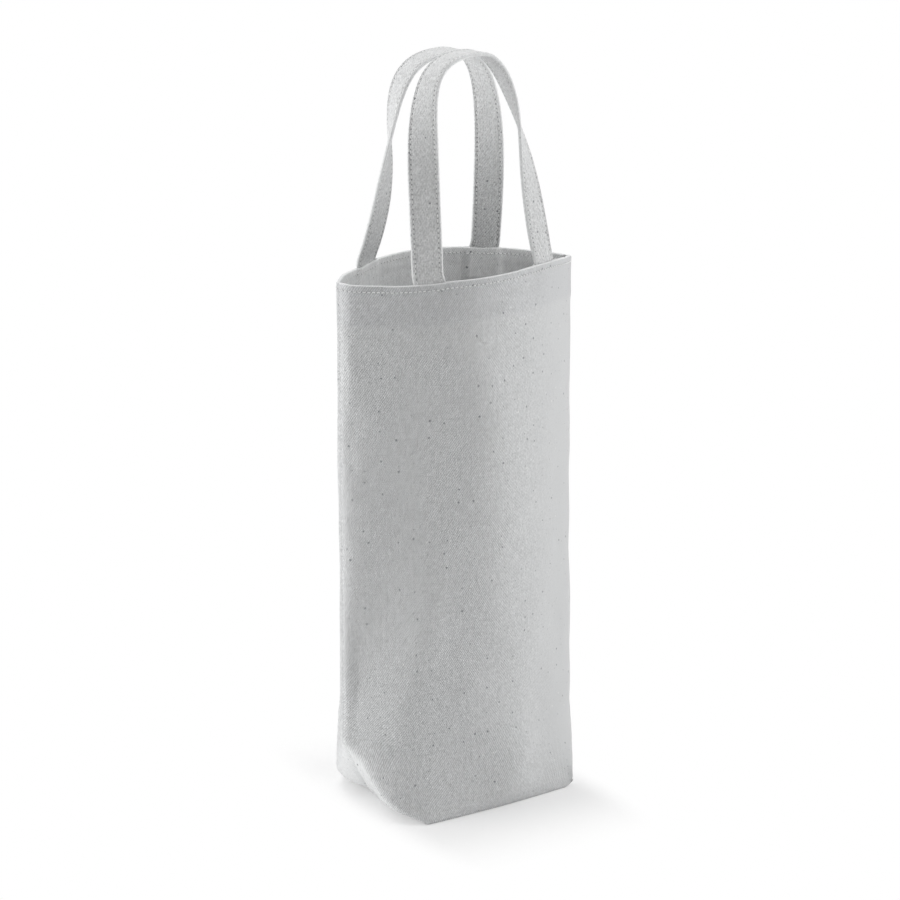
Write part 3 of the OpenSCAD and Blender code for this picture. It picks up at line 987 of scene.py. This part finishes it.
def seams_on(tree, across, along, rows, edges):
    """One mask for all the needle holes on a piece and one for its folded edges, where a highlight is
    painted.
    """
    holes, edge_light = 0.0, 0.0
    for row in rows:
        found = place_group(tree, HOLES, Across=across, Along=along, Row=row, Pitch=PITCH * MM)
        holes = math_node(tree, "MAXIMUM", holes, found[0])
    for start, end in edges:
        found = place_group(tree, EDGE, Across=across, Start=start, End=end)
        aside = math_node(tree, "ABSOLUTE", across)
        beyond = math_node(tree, "LESS_THAN", aside, end + EDGE_HIGHLIGHT_OVER)
        edge_light = math_node(tree, "MAXIMUM", edge_light, math_node(tree, "MULTIPLY", found[0], beyond))
    return holes, edge_light


def calmer_right(tree, u, level):
    """Less contrast of the yarns' tone in a stretch at the right of the front."""
    from_left = math_node(tree, "ADD", u, FLAT_HW * MM)
    in_zone, past_zone = (place_group(tree, EDGE, Across=from_left, Start=start, End=end)[0]
                    for start, end in CALM_STRETCH)
    lost = math_node(tree, "MULTIPLY", math_node(tree, "SUBTRACT", in_zone, past_zone), 1 - CALM_CONTRAST)
    left = math_node(tree, "SUBTRACT", 1.0, lost)
    away = math_node(tree, "MULTIPLY", math_node(tree, "SUBTRACT", level, 1.0), left)
    return math_node(tree, "ADD", away, 1.0)


def boxed_corners(tree, u, v):
    """A mask of the cloth outside the corner folds, for both panels."""
    behind = math_node(tree, "SUBTRACT", u, BACK_PLACE[0] * MM)
    aside = math_node(tree, "MINIMUM", *(math_node(tree, "ABSOLUTE", x) for x in (u, behind)))
    past = math_node(tree, "SUBTRACT", math_node(tree, "SUBTRACT", aside, v), BASE_W / 2 * MM)
    return math_node(tree, "MULTIPLY", math_node(tree, "ADD", past, CORNER_INSIDE), CORNER_GAIN,
                     clamp=True)


def outer_marks(tree, base, u, v):
    """The base colour with the painted shade of the lined band and the painted light outside the corner
    folds of the outer face.
    """
    lined = place_group(tree, EDGE, Across=v, Start=LINED_EDGE[0], End=LINED_EDGE[1])
    base = mix_color(tree, lined[0], base, mix_color(tree, 1.0, base, LINED_PAINTED_SHADE, "MULTIPLY"))
    # Painted light on the cloth outside the corner folds
    in_zone = boxed_corners(tree, u, v)
    return mix_color(tree, math_node(tree, "MULTIPLY", in_zone, CORNER_PAINTED_LIGHT), base, PALE_PAINTED_LIGHT)


print("lined above", round(LINED_EDGE[0], 4), "m")

# %% Canvas material
# The first colour is painted shade, the dark inside the needle holes; the flecks are the cloth's own
HOLE_PAINTED_SHADE, DARK_FLECK, PALE_FLECK = (0.17, 0.18, 0.19), (0.24, 0.25, 0.26), (0.86, 0.86, 0.84)
SPECKS = (  # cells in a metre, size, share of the cells, share of the colour, colour
    (210.0, 0.11, 0.30, 0.35, DARK_FLECK),
    (130.0, 0.075, 0.25, 0.45, PALE_FLECK),
    (95.0, 0.062, 0.40, 0.95, DARK_FLECK),
)
# Shares of the painted shade in the needle holes and of the painted highlight on the edges
HOLE_SHADE_SHARE, EDGE_HIGHLIGHT_SHARE = 0.60, 0.60
WEAVE_RELIEF, BROAD, CLOUDS = 0.00011, 0.36, 0.08
YARN_HEIGHT, HOLE_DEPTH = 0.9, 2.5  # as shares of a rib's


def make_canvas(name, color, rib, ribs, streaks, rows, edges, rows_run_across=True, outer_face=False):
    """Twill: rib is its spacing; ribs and streaks say how strongly each shows."""
    paint, tree, surface = new_paint(name)
    uv = flat_place(tree)
    u, v, _ = split_up(tree, uv)
    holes, edge_light = seams_on(tree, *((v, u) if rows_run_across else (u, v)), rows, edges)
    weave = place_group(tree, TWILL, Vector=uv, Rib_Spacing=rib, Rib_Slant=0.75, Unevenness=0.45)
    broad = place_group(tree, YARN, Vector=uv, Yarns_Per_Metre=420.0, Slub_Length=0.009)
    fine = place_group(tree, YARN, Vector=uv, Yarns_Per_Metre=1100.0, Slub_Length=0.0022)
    level = calmer_right(tree, u, product(tree, [
        around_one(tree, value, share) for value, share in (
            (broad["Along"], BROAD), (fine["Along"], streaks),
            (broad["Cloud"], CLOUDS), (weave["Rib"], ribs))]))
    base = mix_color(tree, 1.0, color, grey(tree, level), "MULTIPLY")
    if outer_face:
        base = outer_marks(tree, base, u, v)
    over = [(place_group(tree, FLECKS, Vector=uv, Cells_Per_Metre=cells, Speck_Size=size,
                         Amount=amount)[0], share, tone)
            for cells, size, amount, share, tone in SPECKS]
    # A painted highlight along the folded edges, and painted shade in the needle holes
    over += [(edge_light, EDGE_HIGHLIGHT_SHARE, PALE_PAINTED_LIGHT), (holes, HOLE_SHADE_SHARE, HOLE_PAINTED_SHADE)]
    for mask, share, tone in over:
        base = mix_color(tree, math_node(tree, "MULTIPLY", mask, share), base, tone)
    yarns = math_node(tree, "ADD", weave["Height"],
                      math_node(tree, "MULTIPLY", fine["Along"], YARN_HEIGHT))
    height = math_node(tree, "SUBTRACT", yarns, math_node(tree, "MULTIPLY", holes, HOLE_DEPTH))
    set_inputs(tree, surface, Base_Color=base, Normal=bumped(tree, height, WEAVE_RELIEF),
               Roughness=math_node(tree, "MULTIPLY_ADD", weave["Rib"], -0.10, 0.95),
               Specular_IOR_Level=0.25, Sheen_Weight=0.5, Sheen_Roughness=0.4)
    return paint


print("kinds of specks:", len(SPECKS))

# %% The outer face, the reverse and the straps
# The reverse is paler, partly as a twill's reverse is and partly as painted light that brightens the
# inside of the mouth
FACE_COLOR, REVERSE_PALE_PAINTED_LIGHT = (0.600, 0.607, 0.610), (0.800, 0.806, 0.806)
STRAP_COLOR = (0.640, 0.646, 0.648)
RIM_ROWS = [(BODY_H - RIM_ROW + place) * MM for place in (0, FACING_PLACE[1])]
RIM_EDGES = [((BODY_H - 1.1 + place) * MM, (BODY_H - 0.2 + place) * MM)
             for place in (0, FACING_PLACE[1])]
STRAP_EDGE = ((STRAP_W / 2 - 1.0) * MM, (STRAP_W / 2 + 0.1) * MM)

CANVAS = make_canvas("grey_twill", FACE_COLOR, 0.00160, 0.32, 0.92, RIM_ROWS, RIM_EDGES,
                     outer_face=True)
REVERSE_PAINTED_LIGHT = make_canvas("twill_reverse_painted_light", REVERSE_PALE_PAINTED_LIGHT, 0.00160, 0.15, 0.60, RIM_ROWS, RIM_EDGES)
STRAP_CANVAS = make_canvas("strap_twill", STRAP_COLOR, 0.00175, 0.08, 1.25,
                           [(STRAP_W / 2 - STRAP_ROW) * MM], [STRAP_EDGE], rows_run_across=False)
print("materials:", CANVAS.name, REVERSE_PAINTED_LIGHT.name, STRAP_CANVAS.name)

# %% [markdown]
# ### Thread
# The sewing thread is a shade paler than the cloth, spun from fine fibres. Its
# twisted plies could be modelled, but a stitch is only a few pixels long. So it
# has a plain light finish with a little of the yarn group's unevenness.

# %% Thread material
THREAD_COLOR, THREAD_RELIEF = (0.88, 0.885, 0.88), 0.00008


def make_thread():
    paint, tree, surface = new_paint("sewing_thread")
    yarn = place_group(tree, YARN, Vector=flat_place(tree), Yarns_Per_Metre=2600.0,
                       Slub_Length=0.004)
    shade = grey(tree, around_one(tree, yarn["Along"], 0.35))
    set_inputs(tree, surface, Base_Color=mix_color(tree, 1.0, THREAD_COLOR, shade, "MULTIPLY"),
               Normal=bumped(tree, yarn["Along"], THREAD_RELIEF), Roughness=0.8, Sheen_Weight=0.2)
    return paint


THREAD = make_thread()
print("material:", THREAD.name)

# %% [markdown]
# ## The two panels
# Each panel carries its half of the base and its seam allowances. At the mouth
# the cloth rolls over, so the rim shows a soft bright edge and not a cut one:
# the last rows of the grid follow a quarter circle inward. A bevel would cut
# across the weave instead of carrying it over.

# %% The shell of a panel
ROLL = 1.15  # radius of the rim
ROLL_TURNS = np.radians([0, 22, 45, 67, 90])


def rolled(side, us, top, radius, start_depth, inward):
    """Rows of points that roll over the rim by a quarter circle."""
    rows = [place_on(side, us, top - radius + radius * math.sin(a),
                     start_depth + inward * radius * (1 - math.cos(a))) for a in ROLL_TURNS]
    return np.stack(rows)


def panel_shell(side):
    low = GRID_V < BODY_H - ROLL - 0.3
    us, vs = GRID_U, GRID_V[low]
    u, v = np.meshgrid(us, vs)
    outer = np.concatenate([place_on(side, u, v, 0.0), rolled(side, us, BODY_H, ROLL, 0.0, 1)])
    tight = ROLL - CLOTH_T
    inner = np.concatenate([place_on(side, u, v, CLOTH_T),
                            rolled(side, us, BODY_H - CLOTH_T, tight, CLOTH_T, 1)])
    rows_v = np.concatenate([vs, BODY_H - ROLL + ROLL * ROLL_TURNS])
    flat = np.stack(np.meshgrid(us, rows_v), -1)
    kept = (rows_v[:-1, None] > -1e-6) | (abs((us[:-1] + us[1:]) / 2)[None] < BASE_W / 2)
    return mirrored(closed_shell(outer, inner, flat, kept), side), int(kept.sum())


print("rim radius:", ROLL, "mm")

# %% Seam allowances
FIN_FROM, FIN_GAP = 8, 0.05  # height where a side fin starts, and half the gap between two
FIN_IN = SEAM_TURN + 0.2     # and how far inside the seam's groove
BASE_Z, BASE_WAVE = CLOTH_T + 0.5, 0.2  # height of the allowances pressed open on the base
CORNER_GAP, MIDDLE_GAP, MIDDLE_SHORT = 1.5, 0.6, 12  # from the seams, and short of the corners


def strip(points_a, points_b, thick, flat_w):
    """A narrow strip of cloth between two lines of points, with thickness along thick."""
    shares = np.linspace(0, 1, 5)
    outer = np.stack([lerp(points_a, points_b, s) for s in shares])
    flat = np.stack(np.meshgrid(np.linspace(0, len(points_a) * CELL, len(points_a)), shares * flat_w), -1)
    return closed_shell(outer, outer + thick, flat)


def allowances(side):
    """Fins of cloth down the side seams, and strips pressed open on the base."""
    found = []
    thick = np.array([0, 0, CLOTH_T])
    vs = steps(FIN_FROM, BODY_H - FACING_D)
    wave = 0.5 * np.sin(vs / 17) + 0.3 * np.sin(vs / 6.3 + 1)
    for sign in (-1, 1):
        seam = settled(on_front(sign * FLAT_HW, vs, FIN_IN), side)
        free = seam - np.stack([sign * (SEAM_ALLOW + 0 * vs), -wave, 0 * vs], -1)
        gap = np.array([0, -FIN_GAP, 0])
        fin = strip(seam + gap, free + gap, np.array([0, -CLOTH_T, 0]), SEAM_ALLOW)
        found.append(fin if sign > 0 else (fin[0], fin[1][:, ::-1], fin[2]))
        ys = steps(-FOLD_R + 4, -2)
        z = BASE_Z + BASE_WAVE * np.sin(ys / 5)
        line = settled(np.stack([sign * (BASE_W / 2 - CORNER_GAP) + 0 * ys, ys, z], -1), side)
        found.append(strip(line, line - (sign * SEAM_ALLOW, 0, 0), thick, SEAM_ALLOW))
    xs = steps(-BASE_W / 2 + MIDDLE_SHORT, BASE_W / 2 - MIDDLE_SHORT)
    line = np.stack([xs, -MIDDLE_GAP + 0 * xs, BASE_Z + BASE_WAVE * np.sin(xs / 6)], -1)
    found.append(strip(line, line - (0, SEAM_ALLOW, 0), thick, SEAM_ALLOW))
    return [(p * MIRROR[side], f[:, ::-1] if side == "back" else f, uv) for p, f, uv in found]


print("fins from", FIN_FROM, "mm up")


def make_panel(side):
    shell, count = panel_shell(side)
    points, faces, flat = merged([shell, *allowances(side)])
    panel = to_object(f"{side}_canvas", points, faces, flat, CANVAS)
    # The inner faces take the reverse, with its painted light
    panel.data.materials.append(REVERSE_PAINTED_LIGHT)
    inward = np.zeros(len(faces), int)
    inward[count:2 * count] = 1
    panel.data.polygons.foreach_set("material_index", inward)
    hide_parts(f"{side}_panel")
    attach(panel, "bag")
    return panel


for side in ("front", "back"):
    made = make_panel(side)
    print(made.name, len(made.data.polygons), "faces")

# %% [markdown]
# ## Facings
# A band of the same cloth is sewn to the rim and turned inside, where it covers
# the strap ends. It could be left out, since little of it shows, but the mouth
# would look thin. So it is a shell of its own, pushed inward where a strap passes
# under it and thicker at the rim, where both allowances are folded between.

# %% Facings
HEM_EXTRA, HEM_DEPTH = 0.6, 9.0  # how much thicker it is near the rim, and how far down
TAIL_DEPTH, REST = 1.3, 0.1      # where a strap's end lies, and the play between two layers
SLANT = 0.9                      # a strap is wider on the flat cloth, which slants there


def foot_u(side):
    """Where on the rim the two strap feet stand, found by how far they are across the bag."""
    x = place_on(side, GRID_U, BODY_H, 0)[:, 0]
    return np.interp(STRAP_FEET[side], x, GRID_U)


def facing_depth(side, u, v):
    """Depth of the facing's outer face inside the panel's."""
    beside = np.min([abs(u - foot) for foot in foot_u(side)], axis=0) - STRAP_W / 2 / SLANT
    over = (1 - ramp(beside, 0, 5)) * ramp(v, BODY_H - TAIL_LEN - 4, BODY_H - TAIL_LEN)
    hem = ramp(v, BODY_H - HEM_DEPTH - 2, BODY_H - HEM_DEPTH)
    return np.maximum(CLOTH_T + REST + HEM_EXTRA * hem, (TAIL_DEPTH + STRAP_T + REST) * over)


def facing_shell(side):
    us = GRID_U[(abs(GRID_U) < FLAT_HW - 1.6)]
    vs = join(steps(BODY_H - FACING_D, BODY_H - ROLL, 1.5))
    u, v = np.meshgrid(us, vs)
    near, rim = facing_depth(side, u, v), facing_depth(side, us, BODY_H)
    room = place_on(side, u, v, near + CLOTH_T)
    tight = ROLL - CLOTH_T
    inner = np.concatenate([room[:-1], rolled(side, us, BODY_H, ROLL, rim + CLOTH_T, -1)])
    outer = np.concatenate([place_on(side, u, v, near)[:-1],
                            rolled(side, us, BODY_H - CLOTH_T, tight, rim, -1)])
    rows_v = np.concatenate([vs[:-1], BODY_H - ROLL + ROLL * ROLL_TURNS])
    flat = np.stack(np.meshgrid(us, rows_v), -1) + FACING_PLACE
    return mirrored(closed_shell(outer, inner, flat), side)


for side in ("front", "back"):
    points, faces, flat = facing_shell(side)
    facing = to_object(f"{side}_facing_cloth", points, faces, flat, REVERSE_PAINTED_LIGHT)
    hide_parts(f"{side}_facing")
    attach(facing, "bag")
    print(facing.name, len(faces), "faces, strap feet at u =", foot_u(side).round(1))

# %% [markdown]
# ## Straps
# A strap is a strip of canvas folded in on itself to four layers and stitched
# along both edges. It starts between panel and facing, leaves the rim upright,
# leans in as it rises and turns so that its width lies across the bag at the
# top. A bent bar would do for the outline, but its edges would not twist like
# cloth. So each half of the arch is a Bezier curve with handles fitted to the
# photograph, and the strap's section is carried along it as it turns.

# %% Feet and arches of the straps
FOOT_Y, FOOT_Z, FOOT_TURN = 32.7, 349.9, math.radians(22.98)  # a foot's place, its width's turn
# top: x, y and height over the rim of the middle of the arch. turn: how the strap lies there.
# reach: how far the top pulls on a leg. out, up, lean: where the leg's own handle stands, as
# shares of the foot's x, of the height and of the way in. ease: degrees that the leg turns just
# above its foot. late and sharp: how it twists from there to lie across the bag at the top.
ARCHES = {
    "front": dict(top=(1.9, -14.8, 133.1), turn=1.4, legs=(
        dict(reach=46.4, out=0.815, up=0.778, lean=1.02, ease=5.4, late=3.5, sharp=1.15),
        dict(reach=35.7, out=1.005, up=0.266, lean=0.935, ease=-8.4, late=2.57, sharp=1.40))),
    "back": dict(top=(1.8, -13.3, 131.2), turn=-8.6, legs=(
        dict(reach=66.8, out=0.759, up=0.566, lean=1.675, ease=-1.4, late=2.67, sharp=1.43),
        dict(reach=31.8, out=0.836, up=0.808, lean=1.138, ease=-2.3, late=1.36, sharp=0.86))),
}
for side, arch in ARCHES.items():
    print(side, "strap rises", arch["top"][2], "mm over the rim")

# %% Directions and paths


def unit(a):
    return a / np.maximum(np.linalg.norm(a, axis=-1, keepdims=True), 1e-9)


def square_to(a, axis):
    """a made square to a unit axis, and of unit length."""
    return unit(a - (a * axis).sum(-1, keepdims=True) * axis)


def path_length(points):
    """The distance of each point along a path."""
    return np.concatenate([[0], np.cumsum(np.linalg.norm(np.diff(points, axis=0), axis=1))])


def read_path(x, length, values):
    """Vectors at distances x, where length is the distance of each of the values."""
    return np.stack([np.interp(x, length, values[:, k]) for k in range(3)], -1)


rim = place_on("front", GRID_U, BODY_H, 0)
print("the front rim is", path_length(rim)[-1].round(1), "mm long")

# %% One half of a strap


def twist(leg, h):
    """How far the strap's width is turned from straight across, at a share h of the height."""
    start = FOOT_TURN + math.radians(leg["ease"]) * (1 - np.exp(-h / 0.06))
    share = h ** leg["late"] / (h ** leg["late"] + (1 - h) ** leg["sharp"] + 1e-9)
    return lerp(start, math.pi / 2, share)


def arch_leg(side, sign, count=400):
    """The centre and its across direction from foot to top, for x of that sign."""
    which = int(sign > 0)
    arch, foot_x = ARCHES[side], STRAP_FEET[side][which]
    leg, top, a = arch["legs"][which], np.array(arch["top"]), math.radians(arch["turn"])
    p0 = np.array([foot_x, -FOOT_Y, 0])
    p1 = np.array([foot_x * leg["out"], -lerp(FOOT_Y, -top[1], leg["lean"]), top[2] * leg["up"]])
    p2 = top + sign * leg["reach"] * np.array([math.cos(a), math.sin(a), 0])
    t = np.linspace(0, 1, count)[:, None]
    centre = (1 - t) ** 3 * p0 + 3 * (1 - t) ** 2 * t * p1 + 3 * (1 - t) * t * t * p2 + t ** 3 * top
    along = unit(np.gradient(centre, axis=0))
    turned = twist(leg, np.clip(centre[:, 2] / top[2], 0, 1))
    across = np.stack([np.cos(turned), sign * np.sin(turned), 0 * turned], -1)
    return centre + (0, 0, FOOT_Z), square_to(across, along)


def tail(side, sign, count=24):
    """The same for the end that is sewn in, from its lower edge to just under the rim."""
    v = np.linspace(BODY_H - TAIL_LEN, BODY_H - 1, count)
    u = foot_u(side)[int(sign > 0)]
    depth = TAIL_DEPTH + STRAP_T / 2
    across = unit(place_on(side, u + 4, v, depth) - place_on(side, u - 4, v, depth))
    return place_on(side, u, v, depth) * MIRROR[side], across * MIRROR[side]


print("the front left leg starts at", arch_leg("front", -1)[0][0].round(1))

# %% Course of the straps
STRAP_STEP, STRAP_ROUNDS = 1.0, 12  # distance between sections, and rounds of softening


def strap_course(side):
    """Evenly spaced frames from the left tail over the arch to the right tail."""
    left, right = ([np.concatenate(x) for x in zip(tail(side, sign), arch_leg(side, sign))]
                   for sign in (-1, 1))
    centre, across = (np.concatenate([a, b[::-1][1:]]) for a, b in zip(left, right))
    flip = np.sign((across[1:] * across[:-1]).sum(-1))
    across[1:] *= np.cumprod(np.where(flip == 0, 1, flip))[:, None]
    length = path_length(centre)
    s = np.linspace(0, length[-1], int(length[-1] / STRAP_STEP) + 1)
    centre, across = (read_path(s, length, x) for x in (centre, across))
    for _ in range(STRAP_ROUNDS):
        for x in (across, centre):
            x[1:-1] = (x[:-2] + 2 * x[1:-1] + x[2:]) / 4
    along = unit(np.gradient(centre, axis=0))
    across = square_to(across, along)
    return s, centre, across, np.cross(across, along)


COURSES = {side: strap_course(side) for side in ("front", "back")}
print("strap lengths:", {side: round(float(c[0][-1]), 1) for side, c in COURSES.items()}, "mm")

# %% Section of a strap
GROOVE, GROOVE_HALF, PULL = 0.34, 0.5, 0.35  # depth and width of a row's groove, and its unevenness
PUCKER, EDGE_R, CROWN = 0.14, 1.25, 0.10     # how the width changes by stitch, the fold, the middle


def strap_section(s):
    """The strap's outline at distance s, with full folded edges, a groove at each row and a soft
    crown, and beside each point its distance round the section from the middle of its face."""
    r = EDGE_R
    angles = np.radians(np.linspace(90, 0, 7))
    edge = np.stack([STRAP_W / 2 - r + r * np.cos(angles), r * np.sin(angles)], -1)
    row = STRAP_W / 2 - STRAP_ROW
    w = np.array([0, 2.5, 5, row - 1.3, row - 0.6, row, row + 0.35])
    by_stitch = np.cos(2 * math.pi * s / PITCH)
    dent = GROOVE * (1 + PULL * by_stitch) * np.exp(-((w - row) / GROOVE_HALF) ** 2)
    top = np.stack([w, STRAP_T / 2 - dent + CROWN * (1 - (w / row) ** 2)], -1)
    quarter = np.concatenate([top, edge])
    upper = np.concatenate([quarter[::-1], quarter[1:] * (-1, 1)])
    lower = upper[1:-1][::-1] * (1, -1)
    wave = 1 + PUCKER / STRAP_W * by_stitch
    reach = path_length(quarter)
    reach = np.concatenate([reach[::-1], -reach[1:]])
    return np.concatenate([upper, lower]) * (wave, 1), np.concatenate([reach, reach[1:-1][::-1]])


print("section:", len(strap_section(0)[0]), "points")


def strap_mesh(side):
    s, centre, across, out = COURSES[side]
    sections, reaches = (np.stack(x) for x in zip(*[strap_section(x) for x in s]))
    rings = centre[:, None] + sections[..., :1] * across[:, None] + sections[..., 1:] * out[:, None]
    n, m = rings.shape[:2]
    k = np.arange(n * m).reshape(n, m)
    k2 = np.roll(k, -1, axis=1)
    quads = np.stack([k[:-1], k[1:], k2[1:], k2[:-1]], -1).reshape(-1, 4)
    flat = np.stack([reaches, np.repeat(s[:, None], m, 1)], -1)
    points, flat = rings.reshape(-1, 3), flat.reshape(-1, 2)
    ends = []
    for row, order in ((k[0], 1), (k[-1], -1)):
        middle = len(points)
        points = np.vstack([points, points[row].mean(0)])
        flat = np.vstack([flat, flat[row].mean(0)])
        ring = row[::order]
        ends.append(np.stack([ring, np.roll(ring, -1), np.full(m, middle)], -1))
    faces = quads.tolist() + np.concatenate(ends).tolist()
    if side == "back":
        faces = [f[::-1] for f in faces]
    return points * MIRROR[side], faces, flat


for side in ("front", "back"):
    points, faces, flat = strap_mesh(side)
    strap = to_object(f"{side}_strap", points, faces, flat + STRAP_PLACE, STRAP_CANVAS)
    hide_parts(f"{side}_handle", f"{side}_handle_ends")
    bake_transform(strap)
    print(strap.name, len(faces), "faces")

# %% [markdown]
# ## Stitches
# Every seam that shows is a row of lockstitch: short dashes of thread, each
# sunk at its ends where the needle went through. A bump in the cloth could show
# them, but from the side the row would be flat. So one stitch is modelled as a
# little bent bar and then repeated along a path that lies on the cloth.

# %% The shape of one stitch
STITCH_LONG, STITCH_THICK = 2.35, 0.52
SIDES, RINGS = 6, 5


def stitch_shape():
    """Points of one stitch in (along, across, out) and its faces."""
    t = np.linspace(-1, 1, RINGS)
    radius = STITCH_THICK / 2 * np.sqrt(np.clip(1.08 - t ** 4, 0.05, 1))
    height = 0.10 + 0.16 * (1 - t ** 2) - 0.22 * abs(t) ** 3
    a = np.linspace(0, 2 * math.pi, SIDES, endpoint=False)
    ring = np.stack([np.repeat(t[:, None] * STITCH_LONG / 2, SIDES, 1),
                     radius[:, None] * np.cos(a), height[:, None] + radius[:, None] * np.sin(a)], -1)
    k = np.arange(RINGS * SIDES).reshape(RINGS, SIDES)
    k2 = np.roll(k, -1, 1)
    quads = np.stack([k[:-1], k2[:-1], k2[1:], k[1:]], -1).reshape(-1, 4).tolist()
    return ring.reshape(-1, 3), quads + [k[0][::-1].tolist(), k[-1].tolist()]


SHAPE, SHAPE_FACES = stitch_shape()
print("stitch:", len(SHAPE), "points")

# %% Rows of stitches
NEXT_STITCH = 3.1  # each stitch lies on a part of its own of the yarn pattern


def sew(centre, along, out):
    """Stitches at the given places: points, faces and flat places."""
    along = unit(along)
    out = square_to(out, along)
    points = (centre[:, None] + SHAPE[None, :, :1] * along[:, None]
              + SHAPE[None, :, 1:2] * np.cross(out, along)[:, None] + SHAPE[None, :, 2:] * out[:, None])
    n, m = len(SHAPE), len(centre)
    faces = [[v + i * n for v in face] for i in range(m) for face in SHAPE_FACES]
    flat = np.tile(SHAPE[:, [1, 0]], (m, 1)) + np.repeat(np.arange(m) * NEXT_STITCH, n)[:, None]
    return points.reshape(-1, 3), faces, flat


def evenly(path, pitch=PITCH):
    """Places along a path of points, one per stitch, and their directions."""
    length = path_length(path)
    s = np.arange(pitch / 2, length[-1], pitch)
    ahead, behind = read_path(s + 0.5, length, path), read_path(s - 0.5, length, path)
    return read_path(s, length, path), ahead - behind


def thread_object(name, rows, nodes, body, bend=False):
    """All the stitches of one or more rows as one piece."""
    points, faces, flats, base = [], [], [], 0
    for p, f, uv in rows:
        points.append(p)
        faces += [[v + base for v in face] for face in f]
        flats.append(uv)
        base += len(p)
    made = to_object(name, np.concatenate(points), faces, np.concatenate(flats), THREAD)
    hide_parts(*nodes)
    if bend:
        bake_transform(made)
    else:
        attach(made, body)
    print(made.name, len(faces) // len(SHAPE_FACES), "stitches")


trial = np.array([[0, 0, 0], [100, 0, 0]])
print("stitches in 100 mm:", len(evenly(trial)[0]))

# %% Rim rows


def row_on(side, depth_at, inward):
    """A row along the rim: on the panel's face, or inside the bag on the facing."""
    u = np.arange(-35.5, 36) * PITCH
    v = np.full_like(u, BODY_H - RIM_ROW)
    depth = depth_at(u, v)
    centre = place_on(side, u, v, depth)
    along = place_on(side, u + 0.5, v, depth) - place_on(side, u - 0.5, v, depth)
    return sew(centre, along, (place_on(side, u, v, depth + 1) - centre) * inward)


rim_rows = []
for side in ("front", "back"):
    rim_rows.append(row_on(side, lambda u, v: 0 * u, -1))
    rim_rows.append(row_on(side, lambda u, v: facing_depth(side, u, v) + CLOTH_T, 1))
thread_object("rim_stitches", rim_rows, ["rim_stitching"], "bag")

# %% Strap rows


def strap_rows(side):
    s, centre, across, out = COURSES[side]
    keep = slice(int(TAIL_LEN) - 1, len(s) - int(TAIL_LEN) + 1)
    row = STRAP_W / 2 - STRAP_ROW
    places = np.arange(s[keep][0], s[keep][-1], PITCH) // PITCH * PITCH + PITCH / 2
    found = []
    for w in (-row, row):
        for face in (-1, 1):
            line = centre + across * w + out * face * (STRAP_T / 2 - GROOVE)
            middle = read_path(places, s, line)
            ahead, up = read_path(places + 0.5, s, line), read_path(places, s, out) * face
            found.append(sew(*(x * MIRROR[side] for x in (middle, ahead - middle, up))))
    return found


for side in ("front", "back"):
    thread_object(f"{side}_strap_stitches", strap_rows(side), [f"{side}_handle_stitching"],
                  f"{side}_handle", bend=True)

# %% [markdown]
# ### Seams inside the bag
# The side seams, the boxed corners and the base seam are sewn from inside, so
# their rows show only in an emptied bag. They could be left out of a picture,
# but this bag is a part that gets opened and turned. The same stitch is used:
# a straight row on each face, and short slanting ones for the overlocked edge.

# %% Seams inside the bag
OVERLOCK_IN, OVERLOCK_PITCH = 3.2, 2.2  # distance from the free edge, and between stitches
INSIDE_Z = 2 * CLOTH_T + 0.75           # on top of the pressed allowances
CORNER_ROW_IN, CORNER_ROW_HALF = 3.4, 42  # from the boxed corner's seam, and half its length
BASE_ROW_IN, BASE_ROW_SIDE = 14, 3        # short of the base's end, and beside its seam
ROW_IN, ROW_OFF, ROW_FROM = SEAM_TURN + 1.9, CLOTH_T + 0.12, 14  # the straight row of a side seam


def flat_row(centre, along, out):
    """Stitches that all lie against a flat face, whose outward direction is given."""
    return sew(centre, along, np.tile(np.array(out, float), (len(centre), 1)))


def fin_rows(sign):
    """Both faces of a side seam's allowances: one straight row and the edge's overlock."""
    vs = steps(ROW_FROM, BODY_H - FACING_D - 4)
    found = []
    for face in (-1, 1):
        line = settled(on_front(sign * FLAT_HW, vs, ROW_IN), "front") + (0, face * ROW_OFF, 0)
        found.append(flat_row(*evenly(line), (0, face, 0)))
        centre, _ = evenly(line - (sign * (SEAM_ALLOW - OVERLOCK_IN), 0, 0), OVERLOCK_PITCH)
        found.append(flat_row(centre, np.tile([1.0, 0, 0.35], (len(centre), 1)), (0, face, 0)))
    return found


def base_row(a, b):
    return flat_row(*evenly(settled_in_place(np.linspace(a, b, 60))), (0, 0, 1))


for sign, name in ((-1, "left"), (1, "right")):
    thread_object(f"{name}_seam_stitches", fin_rows(sign), [f"{name}_seam_stitching"], "bag")
    x, y = sign * (BASE_W / 2 - CORNER_ROW_IN), CORNER_ROW_HALF
    thread_object(f"{name}_corner_stitches", [base_row((x, -y, INSIDE_Z), (x, y, INSIDE_Z))],
                  [f"{name}_corner_stitching"], "bag")
x = BASE_W / 2 - BASE_ROW_IN
thread_object("base_seam_stitches",
              [base_row((-x, y, INSIDE_Z), (x, y, INSIDE_Z)) for y in (-BASE_ROW_SIDE, BASE_ROW_SIDE)],
              ["base_seam_stitching"], "bag")
